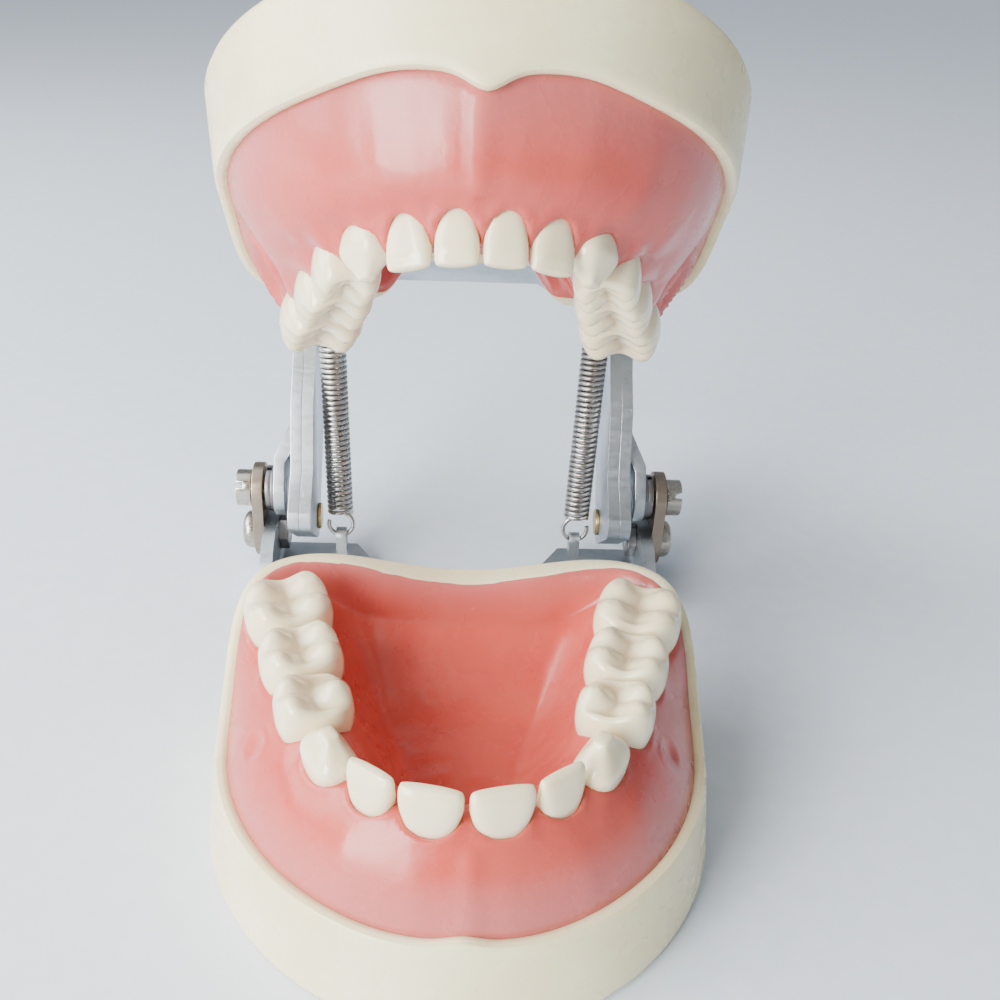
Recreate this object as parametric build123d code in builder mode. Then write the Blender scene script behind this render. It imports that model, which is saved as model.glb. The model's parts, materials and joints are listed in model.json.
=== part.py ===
from build123d import *
import os
from math import atan2, cos, degrees, hypot, radians, sin

# A child's typodont: two jaw models on a spring-loaded steel articulator.
# The upper-jaw model stands on the table, teeth up, and the lower-jaw model hangs over it, teeth down.
# Millimetres. The origin is the middle of the standing base's underside, +Z up, +Y towards the hinge.
# "left" is the -X side and "right" the +X side. Each jaw is made in its own jaw frame: z = 0 is the
# outer face of its base, z grows towards the bite, y grows towards the hinge. Pieces of the lower jaw
# are then turned over to where the closed model holds them, and swung open about the hinge.

# ---------------------------------------------------------------- driving dimensions
TOOTH_TOP = 25.0  # outer face of a base to the cusp tips
BITE_GAP = 0.4  # left between the two sets of cusps when closed
OPEN_ANGLE = 35.0  # opening at the stop, where the model rests

BASE_HALF_WIDTH = 30.5
BASE_FRONT = -27.0
BASE_REAR = 29.0
RIM_HALF_WIDTH = 29.1
RIM_FRONT = -26.3
RIM_REAR = 28.65
BASE_MIDDLE = 6.0
BASE_CORNER = 9.0
RIM_HEIGHT = 12.5
REAR_WALL_HEIGHT = 19.5
REAR_WALL_FRONT = 22.0
REAR_DIP_RADIUS = 26.0
REAR_DIP_DEPTH = 3.0

GUM_INSET = 1.2
GUM_REAR = 25.6
GUM_TOP = 20.4
GUM_TOP_HALF_WIDTH = 25.4
GUM_TOP_FRONT = -21.4
GUM_TOP_REAR = 22.4
GUM_LINING = 1.6

BOWL_HALF_WIDTH = 13.6
BOWL_FRONT = -11.5
BOWL_FLOOR = 9.6
BOWL_SLOPE = 5.0
BOWL_REAR = 24.0
BOWL_CORNER = 5.0
BOWL_MIDDLE = 4.0
TONGUE_HALF_WIDTH = 11.4
TONGUE_FRONT = -9.0

NECK_HEIGHT = 19.2
BULGE_HEIGHT = 22.2
ROOT_BOTTOM = 7.0
ROOT_OVERLAP = 0.4
ROOT_RADIUS = 1.45
MOLAR_ROOT_RADIUS = 2.2
TOOTH_SCREW_RADIUS = 0.8
TOOTH_SCREW_TOP = 13.0
TOOTH_SCREW_HEAD_RADIUS = 1.7
TOOTH_SCREW_HEAD = 1.4
COUNTERBORE_RADIUS = 1.9
COUNTERBORE_DEPTH = 4.2
DRIVE_SLOT_WIDTH = 0.6
DRIVE_SLOT_DEPTH = 0.6
FOSSA_RADIUS = 4.0
FOSSA_DEPTH = 1.2
CROWN_CORNER = 0.35  # corner radius of a molar's outline, as a share of its narrower side

PLATE = 2.0
TONGUE_PLATE_HALF_WIDTH = 9.0
TONGUE_PLATE_FRONT = -6.0
PLATE_FIT = 0.1
TAIL_FRONT = 31.0
TAIL_HALF_WIDTH = 22.0
SHOULDER_FRONT = 50.0
PLATE_REAR = 64.4
PLATE_BEND = 2.6
INNER_BEND = 0.8
EDGE_TOLERANCE = 0.01
NOTCH_HALF_WIDTH = 17.0
NOTCH_FLOOR = 55.6
NOTCH_CORNER = 5.0
BRACKET_SCREW_RADIUS = 1.5
BRACKET_SCREW_HEAD_RADIUS = 2.8
BRACKET_SCREW_LENGTH = 7.0
BRACKET_SCREW_PITCH = 14.0
BRACKET_SCREW_FIRST = 2.0

HINGE_Y = 61.9
HINGE_Z = 13.7
HINGE_RADIUS = 2.0
HINGE_CLEARANCE = 0.05
EAR_INNER = 29.4
EAR_THICKNESS = 2.0
EAR_TOP = 8.9
EAR_STEP = 3.4
EAR_CREST = 57.0
LINK_THICKNESS = 1.8
LINK_RADIUS = 4.2
LINK_SCREW_Z = 5.9
UPRIGHT = 90
LINK_SCREW_RADIUS = 1.5
PAN_HEAD_RADIUS = 3.1
PAN_HEAD = 2.1
PAN_HEAD_EDGE = 1.2
LINK_NUT = 1.5
LINK_NUT_FLATS = 5.5
SIDE_GAP = 0.3
CHEESE_HEAD_RADIUS = 2.95
CHEESE_HEAD = 2.4
SCREW_SLOT = 0.9
SCREW_SLOT_DEPTH = 1.1
SPRING_WASHER = 0.9
SPRING_WASHER_RADIUS = 3.7
SPRING_WASHER_GAP = 0.8
SPRING_WASHER_TURN = 40
FLAT_WASHER = 0.5
FLAT_WASHER_RADIUS = 3.9
WASHER_BORE = 0.1

ARM_INNER = 23.3
ARM_THICKNESS = 1.8
ARM_FRONT = 54.8
ARM_REAR = 69.6
ARM_BOTTOM = 6.2
ARM_WAIST = 1.8
ARM_WAIST_Z = 16.0
ARM_CREST_Z = 26.0
ARM_CORNER = 3.0
HEEL_RADIUS = 2.7
STIFFENER_TOP = 45.0
LUG_THICKNESS = 1.8
LUG_OFFSET = 1.0
LUG_RADIUS = 4.4
LUG_FEATHER = 11.0
LUG_FLARE = 4.5
RIVET_RADIUS = 1.3
RIVET_HEAD_RADIUS = 2.2
RIVET_HEAD = 0.6
LOW_RIVET = (66.6, 9.8)
HIGH_RIVET = (62.2, 38.0)

SPRING_RADIUS = 2.15
SPRING_WIRE = 0.72
SPRING_START = 3.0
HOOK_RADIUS = 2.0
LOW_ANCHOR_X = 19.5
TOP_ANCHOR_X = 20.8
ANCHOR_HOLE = 1.0
ANCHOR_THICKNESS = 1.7
ANCHOR_DEPTH = 2.6
ANCHOR_DROP = 9.3
TOP_ANCHOR_Y = 47.5
TOP_ANCHOR_Z = 44.6

# Each half arch, from the midline back: mesiodistal width and buccolingual depth of the crown.
MAXILLA_TEETH = {
    "central_incisor": (6.5, 4.8),
    "lateral_incisor": (5.6, 4.4),
    "canine": (7.2, 5.8),
    "first_molar": (7.8, 8.6),
    "second_molar": (8.8, 9.6),
    "permanent_molar": (10.2, 10.6),
}
MANDIBLE_TEETH = {
    "central_incisor": (4.2, 4.0),
    "lateral_incisor": (4.6, 4.2),
    "canine": (5.9, 5.0),
    "first_molar": (7.7, 7.0),
    "second_molar": (9.9, 8.6),
    "permanent_molar": (11.0, 9.8),
}
MOLARS = ("first_molar", "second_molar", "permanent_molar")
# Share of the full width and depth that a crown has at its neck, its bulge and its bite.
MOLAR_CROWN = {"neck": (0.8, 0.8), "bulge": (1.0, 1.0), "bite": (0.82, 0.66)}
CANINE_CROWN = {"neck": (0.72, 0.85), "bulge": (1.0, 0.9), "bite": (0.3, 0.25)}
INCISOR_CROWN = {"neck": (0.74, 0.85), "bulge": (0.96, 0.75), "bite": (0.94, 0.26)}
# Arch line: a front arc of this radius, then straight flanks that splay by this angle.
MAXILLA_ARCH = {"radius": 16.0, "front": -18.0, "splay": 15.6, "gap": 0.35}
MANDIBLE_ARCH = {"radius": 13.5, "front": -17.3, "splay": 13.2, "gap": 0.25}

# ---------------------------------------------------------------- placing
SIDES = {"left": -1, "right": 1}
CLOSED_HEIGHT = 2 * TOOTH_TOP + BITE_GAP


def opened_point(x, y, z):
    """A point of the closed lower jaw, carried to the open stop."""
    turn = radians(OPEN_ANGLE)
    back = y - HINGE_Y
    up = z - HINGE_Z
    return Vector(x, HINGE_Y + back * cos(turn) + up * sin(turn), HINGE_Z + up * cos(turn) - back * sin(turn))


def opened(piece):
    """A finished piece of the closed lower jaw, turned about the hinge to the open stop."""
    return piece.rotate(Axis((0, HINGE_Y, HINGE_Z), (1, 0, 0)), -OPEN_ANGLE)


def as_built(piece):
    """A finished piece of the standing half, which stays where it is made."""
    return piece


def hung(piece):
    """A piece made in the jaw frame, turned over to where the closed lower jaw holds it."""
    return piece.rotate(Axis((0, 0, CLOSED_HEIGHT / 2), (0, 1, 0)), 180)


def swung(piece):
    """A finished piece made in the jaw frame, carried to the lower jaw at its open stop."""
    return opened(hung(piece))


def side_plane(x):
    """A plane across X at x, whose own x and y are the model's y and z."""
    return Plane(origin=(x, 0, 0), x_dir=(0, 1, 0), z_dir=(1, 0, 0))


def save(piece, name):
    """Labels a finished piece and writes its file."""
    piece.label = name
    export_step(piece, f"parts/{name}.step")


# ---------------------------------------------------------------- jaws
def d_outline(half_width, front, rear, middle, corner):
    """The D of a jaw seen along its height: an elliptical front, straight sides, rounded rear corners."""
    EllipticalCenterArc((0, middle), half_width, middle - front, 180, arc_size=180)
    Line((half_width, middle), (half_width, rear - corner))
    JernArc((half_width, rear - corner), (0, 1), corner, 90)
    Line((half_width - corner, rear), (corner - half_width, rear))
    JernArc((corner - half_width, rear), (-1, 0), corner, 90)
    Line((-half_width, rear - corner), (-half_width, middle))


def d_sketch(height, half_width, front, rear, middle=BASE_MIDDLE, corner=BASE_CORNER):
    """The D outline as a face at this height."""
    with BuildSketch(Plane.XY.offset(height)) as face:
        with BuildLine():
            d_outline(half_width, front, rear, middle, corner)
        make_face()
    return face.sketch


def hollow(bowl, floor, grow):
    """The space inside the dental arch: a closed bowl, or a tongue space that is open behind."""
    with BuildPart() as space:
        if bowl:
            for height, shrink in ((TOOTH_TOP, 0), (floor, BOWL_SLOPE)):
                add(
                    d_sketch(
                        height, BOWL_HALF_WIDTH + grow - shrink, BOWL_FRONT - grow + shrink,
                        BOWL_REAR + grow - shrink, BOWL_MIDDLE, BOWL_CORNER,
                    )
                )
            loft(ruled=True)
        else:
            add(
                d_sketch(
                    floor, TONGUE_HALF_WIDTH + grow, TONGUE_FRONT - grow, BASE_REAR + BASE_CORNER,
                    BOWL_MIDDLE, BOWL_CORNER,
                )
            )
            extrude(amount=TOOTH_TOP - floor)
    return space.part


def arch_point(arch, distance):
    """The place and heading, in degrees from +X, of the arch line this far from the midline."""
    radius = arch["radius"]
    centre_y = arch["front"] + radius
    turn = 90 - arch["splay"]
    arc = radius * radians(turn)
    if distance < arc:
        angle = distance / radius
        return radius * sin(angle), centre_y - radius * cos(angle), degrees(angle)
    along = distance - arc
    heading = radians(turn)
    x = radius * sin(heading) + along * cos(heading)
    y = centre_y - radius * cos(heading) + along * sin(heading)
    return x, y, turn


def tooth_planes(teeth, arch, facing):
    """For every tooth: its label, kind, sizes, and a plane on the base's outer face under it."""
    found = []
    for side, sign in SIDES.items():
        distance = arch["gap"] / 2
        for kind, (width, depth) in teeth.items():
            x, y, heading = arch_point(arch, distance + width / 2)
            distance += width + arch["gap"]
            hand = sign * facing
            run = Vector(cos(radians(heading)), hand * sin(radians(heading)), 0)
            plane = Plane(origin=(hand * x, y, 0), x_dir=run, z_dir=(0, 0, 1))
            found.append((f"{side}_{kind}", kind, width, depth, plane))
    return found


def crown_section(kind, width, depth):
    """One level of a crown: an oval on front teeth, a rounded square on molars."""
    if kind in MOLARS:
        RectangleRounded(width, depth, min(width, depth) * CROWN_CORNER)
    else:
        Ellipse(width / 2, depth / 2)


def crown_profile(kind, width, depth):
    """Crown levels from neck to bite: height, width and depth at each."""
    shape = MOLAR_CROWN if kind in MOLARS else CANINE_CROWN if kind == "canine" else INCISOR_CROWN
    levels = {"neck": NECK_HEIGHT, "bulge": BULGE_HEIGHT, "bite": TOOTH_TOP}
    return [(levels[name], width * wide, depth * deep) for name, (wide, deep) in shape.items()]


def root_radius(kind):
    """The radius of the round root under a crown."""
    return MOLAR_ROOT_RADIUS if kind in MOLARS else ROOT_RADIUS


def make_tooth(kind, width, depth, plane):
    """One tooth: a crown on a round root that is drilled for its screw."""
    with BuildPart() as tooth:
        for height, level_width, level_depth in crown_profile(kind, width, depth):
            with BuildSketch(plane.offset(height)):
                crown_section(kind, level_width, level_depth)
        loft()
        with BuildSketch(plane.offset(ROOT_BOTTOM)):
            Circle(root_radius(kind))
        extrude(amount=NECK_HEIGHT + ROOT_OVERLAP - ROOT_BOTTOM)
        with BuildSketch(plane.offset(ROOT_BOTTOM)):
            Circle(TOOTH_SCREW_RADIUS)
        extrude(amount=TOOTH_SCREW_TOP - ROOT_BOTTOM, mode=Mode.SUBTRACT)
        if kind in MOLARS:
            with Locations(plane.offset(TOOTH_TOP - FOSSA_DEPTH + FOSSA_RADIUS)):
                Sphere(FOSSA_RADIUS, mode=Mode.SUBTRACT)
    return tooth.part


def make_tooth_screws(placed):
    """The screws that come up through a base, one into each root."""
    with BuildPart() as screws:
        for _, _, _, _, plane in placed:
            with BuildSketch(plane.offset(COUNTERBORE_DEPTH)):
                Circle(TOOTH_SCREW_HEAD_RADIUS)
            extrude(amount=-TOOTH_SCREW_HEAD)
            with BuildSketch(plane.offset(COUNTERBORE_DEPTH)):
                Circle(TOOTH_SCREW_RADIUS)
            extrude(amount=TOOTH_SCREW_TOP - COUNTERBORE_DEPTH)
            with BuildSketch(plane.offset(COUNTERBORE_DEPTH - TOOTH_SCREW_HEAD)):
                Rectangle(2 * TOOTH_SCREW_HEAD_RADIUS, DRIVE_SLOT_WIDTH)
            extrude(amount=DRIVE_SLOT_DEPTH, mode=Mode.SUBTRACT)
    return screws.part


def base_block():
    """The solid D of a base, slightly narrower at its rim."""
    with BuildPart() as block:
        add(d_sketch(0, BASE_HALF_WIDTH, BASE_FRONT, BASE_REAR))
        add(d_sketch(RIM_HEIGHT, RIM_HALF_WIDTH, RIM_FRONT, RIM_REAR))
        loft(ruled=True)
    return block.part


def gum_seat(height):
    """The outline of the gum where it stands inside the base's rim."""
    return d_sketch(height, RIM_HALF_WIDTH - GUM_INSET, RIM_FRONT + GUM_INSET, GUM_REAR)


def rear_wall():
    """The part of the rim that climbs behind the last molars, dipped in the middle."""
    with BuildPart() as wall:
        add(d_sketch(RIM_HEIGHT, RIM_HALF_WIDTH, RIM_FRONT, RIM_REAR))
        extrude(amount=REAR_WALL_HEIGHT - RIM_HEIGHT)
        add(gum_seat(RIM_HEIGHT))
        extrude(amount=REAR_WALL_HEIGHT, mode=Mode.SUBTRACT)
        with BuildSketch(Plane.XY.offset(RIM_HEIGHT)):
            with Locations((0, REAR_WALL_FRONT)):
                Rectangle(4 * BASE_HALF_WIDTH, 4 * BASE_HALF_WIDTH, align=(Align.CENTER, Align.MAX))
        extrude(amount=REAR_WALL_HEIGHT, mode=Mode.SUBTRACT)
        with BuildSketch(Plane.XZ):
            with Locations((0, REAR_WALL_HEIGHT - REAR_DIP_DEPTH + REAR_DIP_RADIUS)):
                Circle(REAR_DIP_RADIUS)
        extrude(amount=-BASE_REAR - BASE_CORNER, mode=Mode.SUBTRACT)
    return wall.part


def plate_outline(fit):
    """The tongue of a bracket plate under its base, grown by the fit."""
    half = TONGUE_PLATE_HALF_WIDTH + fit
    with Locations((0, TONGUE_PLATE_FRONT - fit)):
        Rectangle(2 * half, BASE_REAR * 2, align=(Align.CENTER, Align.MIN))


def bracket_screw_spots():
    """Where the two bracket screws stand on the midline."""
    return [Plane((0, BRACKET_SCREW_FIRST + n * BRACKET_SCREW_PITCH, 0)) for n in range(2)]


def make_base(bowl, placed, teeth):
    """The hard base of a jaw, with its tooth sockets, screw holes and plate recess."""
    with BuildPart() as base:
        add(base_block())
        add(rear_wall())
        add(hollow(bowl, BOWL_FLOOR - GUM_LINING, GUM_LINING), mode=Mode.SUBTRACT)
        with BuildSketch():
            plate_outline(PLATE_FIT)
        extrude(amount=PLATE, mode=Mode.SUBTRACT)
        for tooth in teeth:
            add(tooth, mode=Mode.SUBTRACT)
        for _, _, _, _, plane in placed:
            with BuildSketch(plane):
                Circle(COUNTERBORE_RADIUS)
            extrude(amount=COUNTERBORE_DEPTH, mode=Mode.SUBTRACT)
            with BuildSketch(plane):
                Circle(TOOTH_SCREW_RADIUS)
            extrude(amount=TOOTH_SCREW_TOP, mode=Mode.SUBTRACT)
        for spot in bracket_screw_spots():
            with BuildSketch(spot):
                Circle(BRACKET_SCREW_RADIUS)
            extrude(amount=BRACKET_SCREW_LENGTH, mode=Mode.SUBTRACT)
    return base.part


def make_gum(bowl, base, placed, teeth):
    """The soft gum: a crowned D that fills the base's rim, hollowed inside the arch."""
    with BuildPart() as gum:
        add(gum_seat(BOWL_FLOOR - GUM_LINING))
        extrude(amount=RIM_HEIGHT - BOWL_FLOOR + GUM_LINING)
        add(gum_seat(RIM_HEIGHT))
        add(d_sketch(GUM_TOP, GUM_TOP_HALF_WIDTH, GUM_TOP_FRONT, GUM_TOP_REAR))
        loft(ruled=True)
        add(hollow(bowl, BOWL_FLOOR, 0), mode=Mode.SUBTRACT)
        add(base, mode=Mode.SUBTRACT)
        for tooth in teeth:
            add(tooth, mode=Mode.SUBTRACT)
        for _, _, _, _, plane in placed:
            with BuildSketch(plane):
                Circle(TOOTH_SCREW_RADIUS)
            extrude(amount=TOOTH_SCREW_TOP, mode=Mode.SUBTRACT)
    return gum.part


# ---------------------------------------------------------------- articulator
TOP_ANCHOR_DROP = hypot(TOP_ANCHOR_Y - HINGE_Y, TOP_ANCHOR_Z - HINGE_Z)
TOP_ANCHOR_LEAN = degrees(atan2(TOP_ANCHOR_Y - HINGE_Y, TOP_ANCHOR_Z - HINGE_Z))
# The spring passes dead centre half-way through the travel, so its ends are equally long.
ANCHOR_LEAN = TOP_ANCHOR_LEAN + OPEN_ANGLE / 2
LOW_ANCHOR = (
    HINGE_Y - ANCHOR_DROP * sin(radians(ANCHOR_LEAN)),
    HINGE_Z - ANCHOR_DROP * cos(radians(ANCHOR_LEAN)),
)
LINK_INNER = EAR_INNER + EAR_THICKNESS
LINK_OUTER = LINK_INNER + LINK_THICKNESS
STIFFENER_INNER = ARM_INNER + ARM_THICKNESS
LUG_ROOT = STIFFENER_INNER + ARM_THICKNESS
LUG_INNER = LUG_ROOT + LUG_OFFSET
LUG_OUTER = LUG_INNER + LUG_THICKNESS


def disc(plane, spot, radius, start, length, mode=Mode.ADD):
    """A round bar or hole across X: from start to start + length off the plane's own face."""
    with BuildSketch(plane.offset(start)) as section:
        with Locations(spot):
            Circle(radius)
    extrude(section.sketch, amount=length, mode=mode)


def tongue_and_tail(shoulder_front, shoulder_half_width, rear):
    """A bracket plate: a tongue under the base, a tail behind it, wider shoulders, a notched rear edge."""
    with BuildPart() as plate:
        with BuildSketch():
            with Locations((0, TONGUE_PLATE_FRONT)):
                Rectangle(
                    2 * TONGUE_PLATE_HALF_WIDTH, rear - TONGUE_PLATE_FRONT, align=(Align.CENTER, Align.MIN)
                )
            with Locations((0, TAIL_FRONT)):
                Rectangle(2 * TAIL_HALF_WIDTH, rear - TAIL_FRONT, align=(Align.CENTER, Align.MIN))
            with Locations((0, shoulder_front)):
                Rectangle(
                    2 * shoulder_half_width, rear - shoulder_front, align=(Align.CENTER, Align.MIN)
                )
            with BuildLine():
                Polyline(
                    (-NOTCH_HALF_WIDTH, rear),
                    (NOTCH_CORNER - NOTCH_HALF_WIDTH, rear + NOTCH_FLOOR - PLATE_REAR),
                    (NOTCH_HALF_WIDTH - NOTCH_CORNER, rear + NOTCH_FLOOR - PLATE_REAR),
                    (NOTCH_HALF_WIDTH, rear),
                    close=True,
                )
            make_face(mode=Mode.SUBTRACT)
        extrude(amount=PLATE)
        for spot in bracket_screw_spots():
            disc(spot, (0, 0), BRACKET_SCREW_RADIUS, 0, PLATE, Mode.SUBTRACT)
            with Locations(spot):
                Cone(
                    BRACKET_SCREW_HEAD_RADIUS, BRACKET_SCREW_RADIUS, PLATE - PLATE_FIT,
                    align=(Align.CENTER, Align.CENTER, Align.MIN), mode=Mode.SUBTRACT,
                )
    return plate.part


def make_bracket_screws():
    """Countersunk screws that hold a bracket plate under its base."""
    with BuildPart() as screws:
        for spot in bracket_screw_spots():
            with Locations(spot):
                Cone(
                    BRACKET_SCREW_HEAD_RADIUS, BRACKET_SCREW_RADIUS, PLATE - PLATE_FIT,
                    align=(Align.CENTER, Align.CENTER, Align.MIN),
                )
            disc(spot, (0, 0), BRACKET_SCREW_RADIUS, 0, BRACKET_SCREW_LENGTH)
            with BuildSketch(spot):
                Rectangle(BRACKET_SCREW_HEAD_RADIUS, DRIVE_SLOT_WIDTH)
                Rectangle(DRIVE_SLOT_WIDTH, BRACKET_SCREW_HEAD_RADIUS)
            extrude(amount=DRIVE_SLOT_DEPTH, mode=Mode.SUBTRACT)
    return screws.part


def spring_post(side, spot, foot, x):
    """A post with a cross hole that a spring hooks into, standing on the plate level foot."""
    y, z = spot
    sign = SIDES[side]
    plane = side_plane(sign * x - ANCHOR_THICKNESS / 2)
    with BuildPart() as post:
        disc(plane, spot, ANCHOR_DEPTH / 2, 0, ANCHOR_THICKNESS)
        with BuildSketch(plane):
            with Locations((y, (z + foot) / 2)):
                Rectangle(ANCHOR_DEPTH, abs(z - foot))
        extrude(amount=ANCHOR_THICKNESS)
        disc(plane, spot, ANCHOR_HOLE, 0, ANCHOR_THICKNESS, Mode.SUBTRACT)
    return post.part


def bend_edges(bracket, half_width, level):
    """The edges along Y at this half width and height: where an ear is bent up."""
    found = []
    for edge in bracket.edges().filter_by(Axis.Y):
        middle = edge.center()
        across = abs(abs(middle.X) - half_width)
        if middle.Y > SHOULDER_FRONT and hypot(across, middle.Z - level) < EDGE_TOLERANCE:
            found.append(edge)
    return found


def make_maxilla_bracket():
    """The standing plate, with an ear bent up at each rear corner and a spring post beside it."""
    with BuildPart() as bracket:
        add(tongue_and_tail(SHOULDER_FRONT, LINK_INNER, PLATE_REAR))
        for side, sign in SIDES.items():
            with BuildSketch(side_plane(sign * EAR_INNER)):
                with BuildLine():
                    Polyline(
                        (SHOULDER_FRONT, EAR_STEP), (SHOULDER_FRONT, 0), (PLATE_REAR, 0), (PLATE_REAR, EAR_TOP),
                        (EAR_CREST, EAR_TOP),
                    )
                    RadiusArc((EAR_CREST, EAR_TOP), (SHOULDER_FRONT, EAR_STEP), -EAR_TOP)
                make_face()
            extrude(amount=sign * EAR_THICKNESS)
        fillet(bend_edges(bracket, LINK_INNER, 0), PLATE_BEND)
        fillet(bend_edges(bracket, EAR_INNER, PLATE), INNER_BEND)
        for side, sign in SIDES.items():
            add(spring_post(side, LOW_ANCHOR, PLATE / 2, LOW_ANCHOR_X))
            disc(
                side_plane(sign * EAR_INNER), (HINGE_Y, LINK_SCREW_Z), LINK_SCREW_RADIUS,
                0, sign * EAR_THICKNESS, Mode.SUBTRACT,
            )
    return bracket.part


def arm_sketch(plane, top):
    """The outline of an arm: a long strip with a swelling above its waist and a rounded heel."""
    with BuildSketch(plane) as outline:
        with BuildLine():
            Polyline(
                (ARM_FRONT, top), (ARM_FRONT, ARM_CREST_Z + ARM_BOTTOM), (ARM_FRONT - ARM_WAIST / 2, ARM_CREST_Z),
                (ARM_FRONT + ARM_WAIST, ARM_WAIST_Z), (ARM_FRONT, ARM_BOTTOM + ARM_CORNER),
                (ARM_FRONT, ARM_BOTTOM), (ARM_REAR, ARM_BOTTOM), (ARM_REAR, top), close=True,
            )
        make_face()
        heel = outline.vertices().filter_by(lambda corner: corner.Y < ARM_BOTTOM + ARM_CORNER / 2)
        fillet(heel, HEEL_RADIUS)
    return outline.sketch


def make_mandible_bracket():
    """The swung plate, with its two long arms bent towards the hinge and its spring posts."""
    plate = hung(tongue_and_tail(ARM_FRONT, STIFFENER_INNER, ARM_REAR))
    with BuildPart() as bracket:
        add(plate)
        for side, sign in SIDES.items():
            arm = arm_sketch(side_plane(sign * ARM_INNER), CLOSED_HEIGHT)
            extrude(arm, amount=sign * ARM_THICKNESS)
        for side, sign in SIDES.items():
            add(
                spring_post(side, (TOP_ANCHOR_Y, TOP_ANCHOR_Z), CLOSED_HEIGHT - PLATE / 2, TOP_ANCHOR_X)
            )
            for spot in (LOW_RIVET, HIGH_RIVET):
                disc(
                    side_plane(sign * ARM_INNER), spot, RIVET_RADIUS, 0, sign * ARM_THICKNESS,
                    Mode.SUBTRACT,
                )
    return bracket.part


def make_stiffener(sign):
    """The second layer of an arm, riveted to the outside of the bent one."""
    plane = side_plane(sign * STIFFENER_INNER)
    with BuildPart() as stiffener:
        extrude(arm_sketch(plane, STIFFENER_TOP), amount=sign * ARM_THICKNESS)
        for spot in (LOW_RIVET, HIGH_RIVET):
            disc(plane, spot, RIVET_RADIUS, 0, sign * ARM_THICKNESS, Mode.SUBTRACT)
    return stiffener.part


def make_rivets(sign):
    """The rivets through both layers of an arm, with a head on each face."""
    plane = side_plane(sign * ARM_INNER)
    grip = 2 * ARM_THICKNESS
    with BuildPart() as rivets:
        for spot in (LOW_RIVET, HIGH_RIVET):
            disc(plane, spot, RIVET_RADIUS, 0, sign * grip)
            disc(plane, spot, RIVET_HEAD_RADIUS, 0, -sign * RIVET_HEAD)
            disc(plane, spot, RIVET_HEAD_RADIUS, sign * grip, sign * RIVET_HEAD)
    return rivets.part


def make_hinge_lug(sign):
    """The lug that flares off an arm's outer face and carries the hinge screw."""
    plane = side_plane(sign * LUG_ROOT)
    across = Plane.XZ.offset(-HINGE_Y)
    with BuildPart() as lug:
        disc(plane, (HINGE_Y, HINGE_Z), LUG_RADIUS, 0, sign * (LUG_OFFSET + LUG_THICKNESS))
        with BuildSketch(plane):
            with Locations((HINGE_Y, HINGE_Z)):
                Rectangle(2 * LUG_RADIUS, LUG_FEATHER, align=(Align.CENTER, Align.MIN))
        extrude(amount=sign * (LUG_OFFSET + LUG_THICKNESS))
        with BuildSketch(across):
            with BuildLine():
                Polyline(
                    (sign * LUG_ROOT, HINGE_Z + LUG_FEATHER),
                    (sign * LUG_OUTER, HINGE_Z + LUG_FLARE),
                    (sign * LUG_OUTER, HINGE_Z - 2 * LUG_RADIUS),
                    (sign * LUG_INNER, HINGE_Z - 2 * LUG_RADIUS),
                    (sign * LUG_INNER, HINGE_Z + LUG_FLARE - LUG_OFFSET),
                    (sign * LUG_ROOT, HINGE_Z + LUG_FLARE + LUG_OFFSET),
                    close=True,
                )
            make_face()
        extrude(amount=2 * LUG_RADIUS, both=True, mode=Mode.INTERSECT)
        disc(plane, (HINGE_Y, HINGE_Z), HINGE_RADIUS, 0, sign * 2 * LUG_THICKNESS, Mode.SUBTRACT)
    return lug.part


def make_link(sign):
    """The strip that carries the hinge screw above the ear."""
    plane = side_plane(sign * LINK_INNER)
    with BuildPart() as link:
        with BuildSketch(plane):
            with Locations((HINGE_Y, (HINGE_Z + LINK_SCREW_Z) / 2)):
                SlotCenterToCenter(HINGE_Z - LINK_SCREW_Z, 2 * LINK_RADIUS, rotation=UPRIGHT)
        extrude(amount=sign * LINK_THICKNESS)
        disc(
            plane, (HINGE_Y, HINGE_Z), HINGE_RADIUS + HINGE_CLEARANCE, 0, sign * LINK_THICKNESS, Mode.SUBTRACT
        )
        disc(plane, (HINGE_Y, LINK_SCREW_Z), LINK_SCREW_RADIUS, 0, sign * LINK_THICKNESS, Mode.SUBTRACT)
    return link.part


def make_link_screw(sign):
    """The pan-head screw that clamps a link to its ear."""
    plane = side_plane(sign * LINK_OUTER)
    spot = (HINGE_Y, LINK_SCREW_Z)
    grip = LINK_THICKNESS + EAR_THICKNESS + LINK_NUT
    with BuildPart() as screw:
        disc(plane, spot, PAN_HEAD_RADIUS, 0, sign * PAN_HEAD)
        fillet(screw.edges().sort_by(Axis.X)[-1 if sign > 0 else 0], PAN_HEAD_EDGE)
        disc(plane, spot, LINK_SCREW_RADIUS, 0, -sign * grip)
    return screw.part


def make_link_nut(sign):
    """The hexagon nut on the inner face of an ear."""
    plane = side_plane(sign * EAR_INNER)
    spot = (HINGE_Y, LINK_SCREW_Z)
    with BuildPart() as nut:
        with BuildSketch(plane):
            with Locations(spot):
                RegularPolygon(LINK_NUT_FLATS / 2, 6, major_radius=False)
        extrude(amount=-sign * LINK_NUT)
        disc(plane, spot, LINK_SCREW_RADIUS, 0, -sign * LINK_NUT, Mode.SUBTRACT)
    return nut.part


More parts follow.
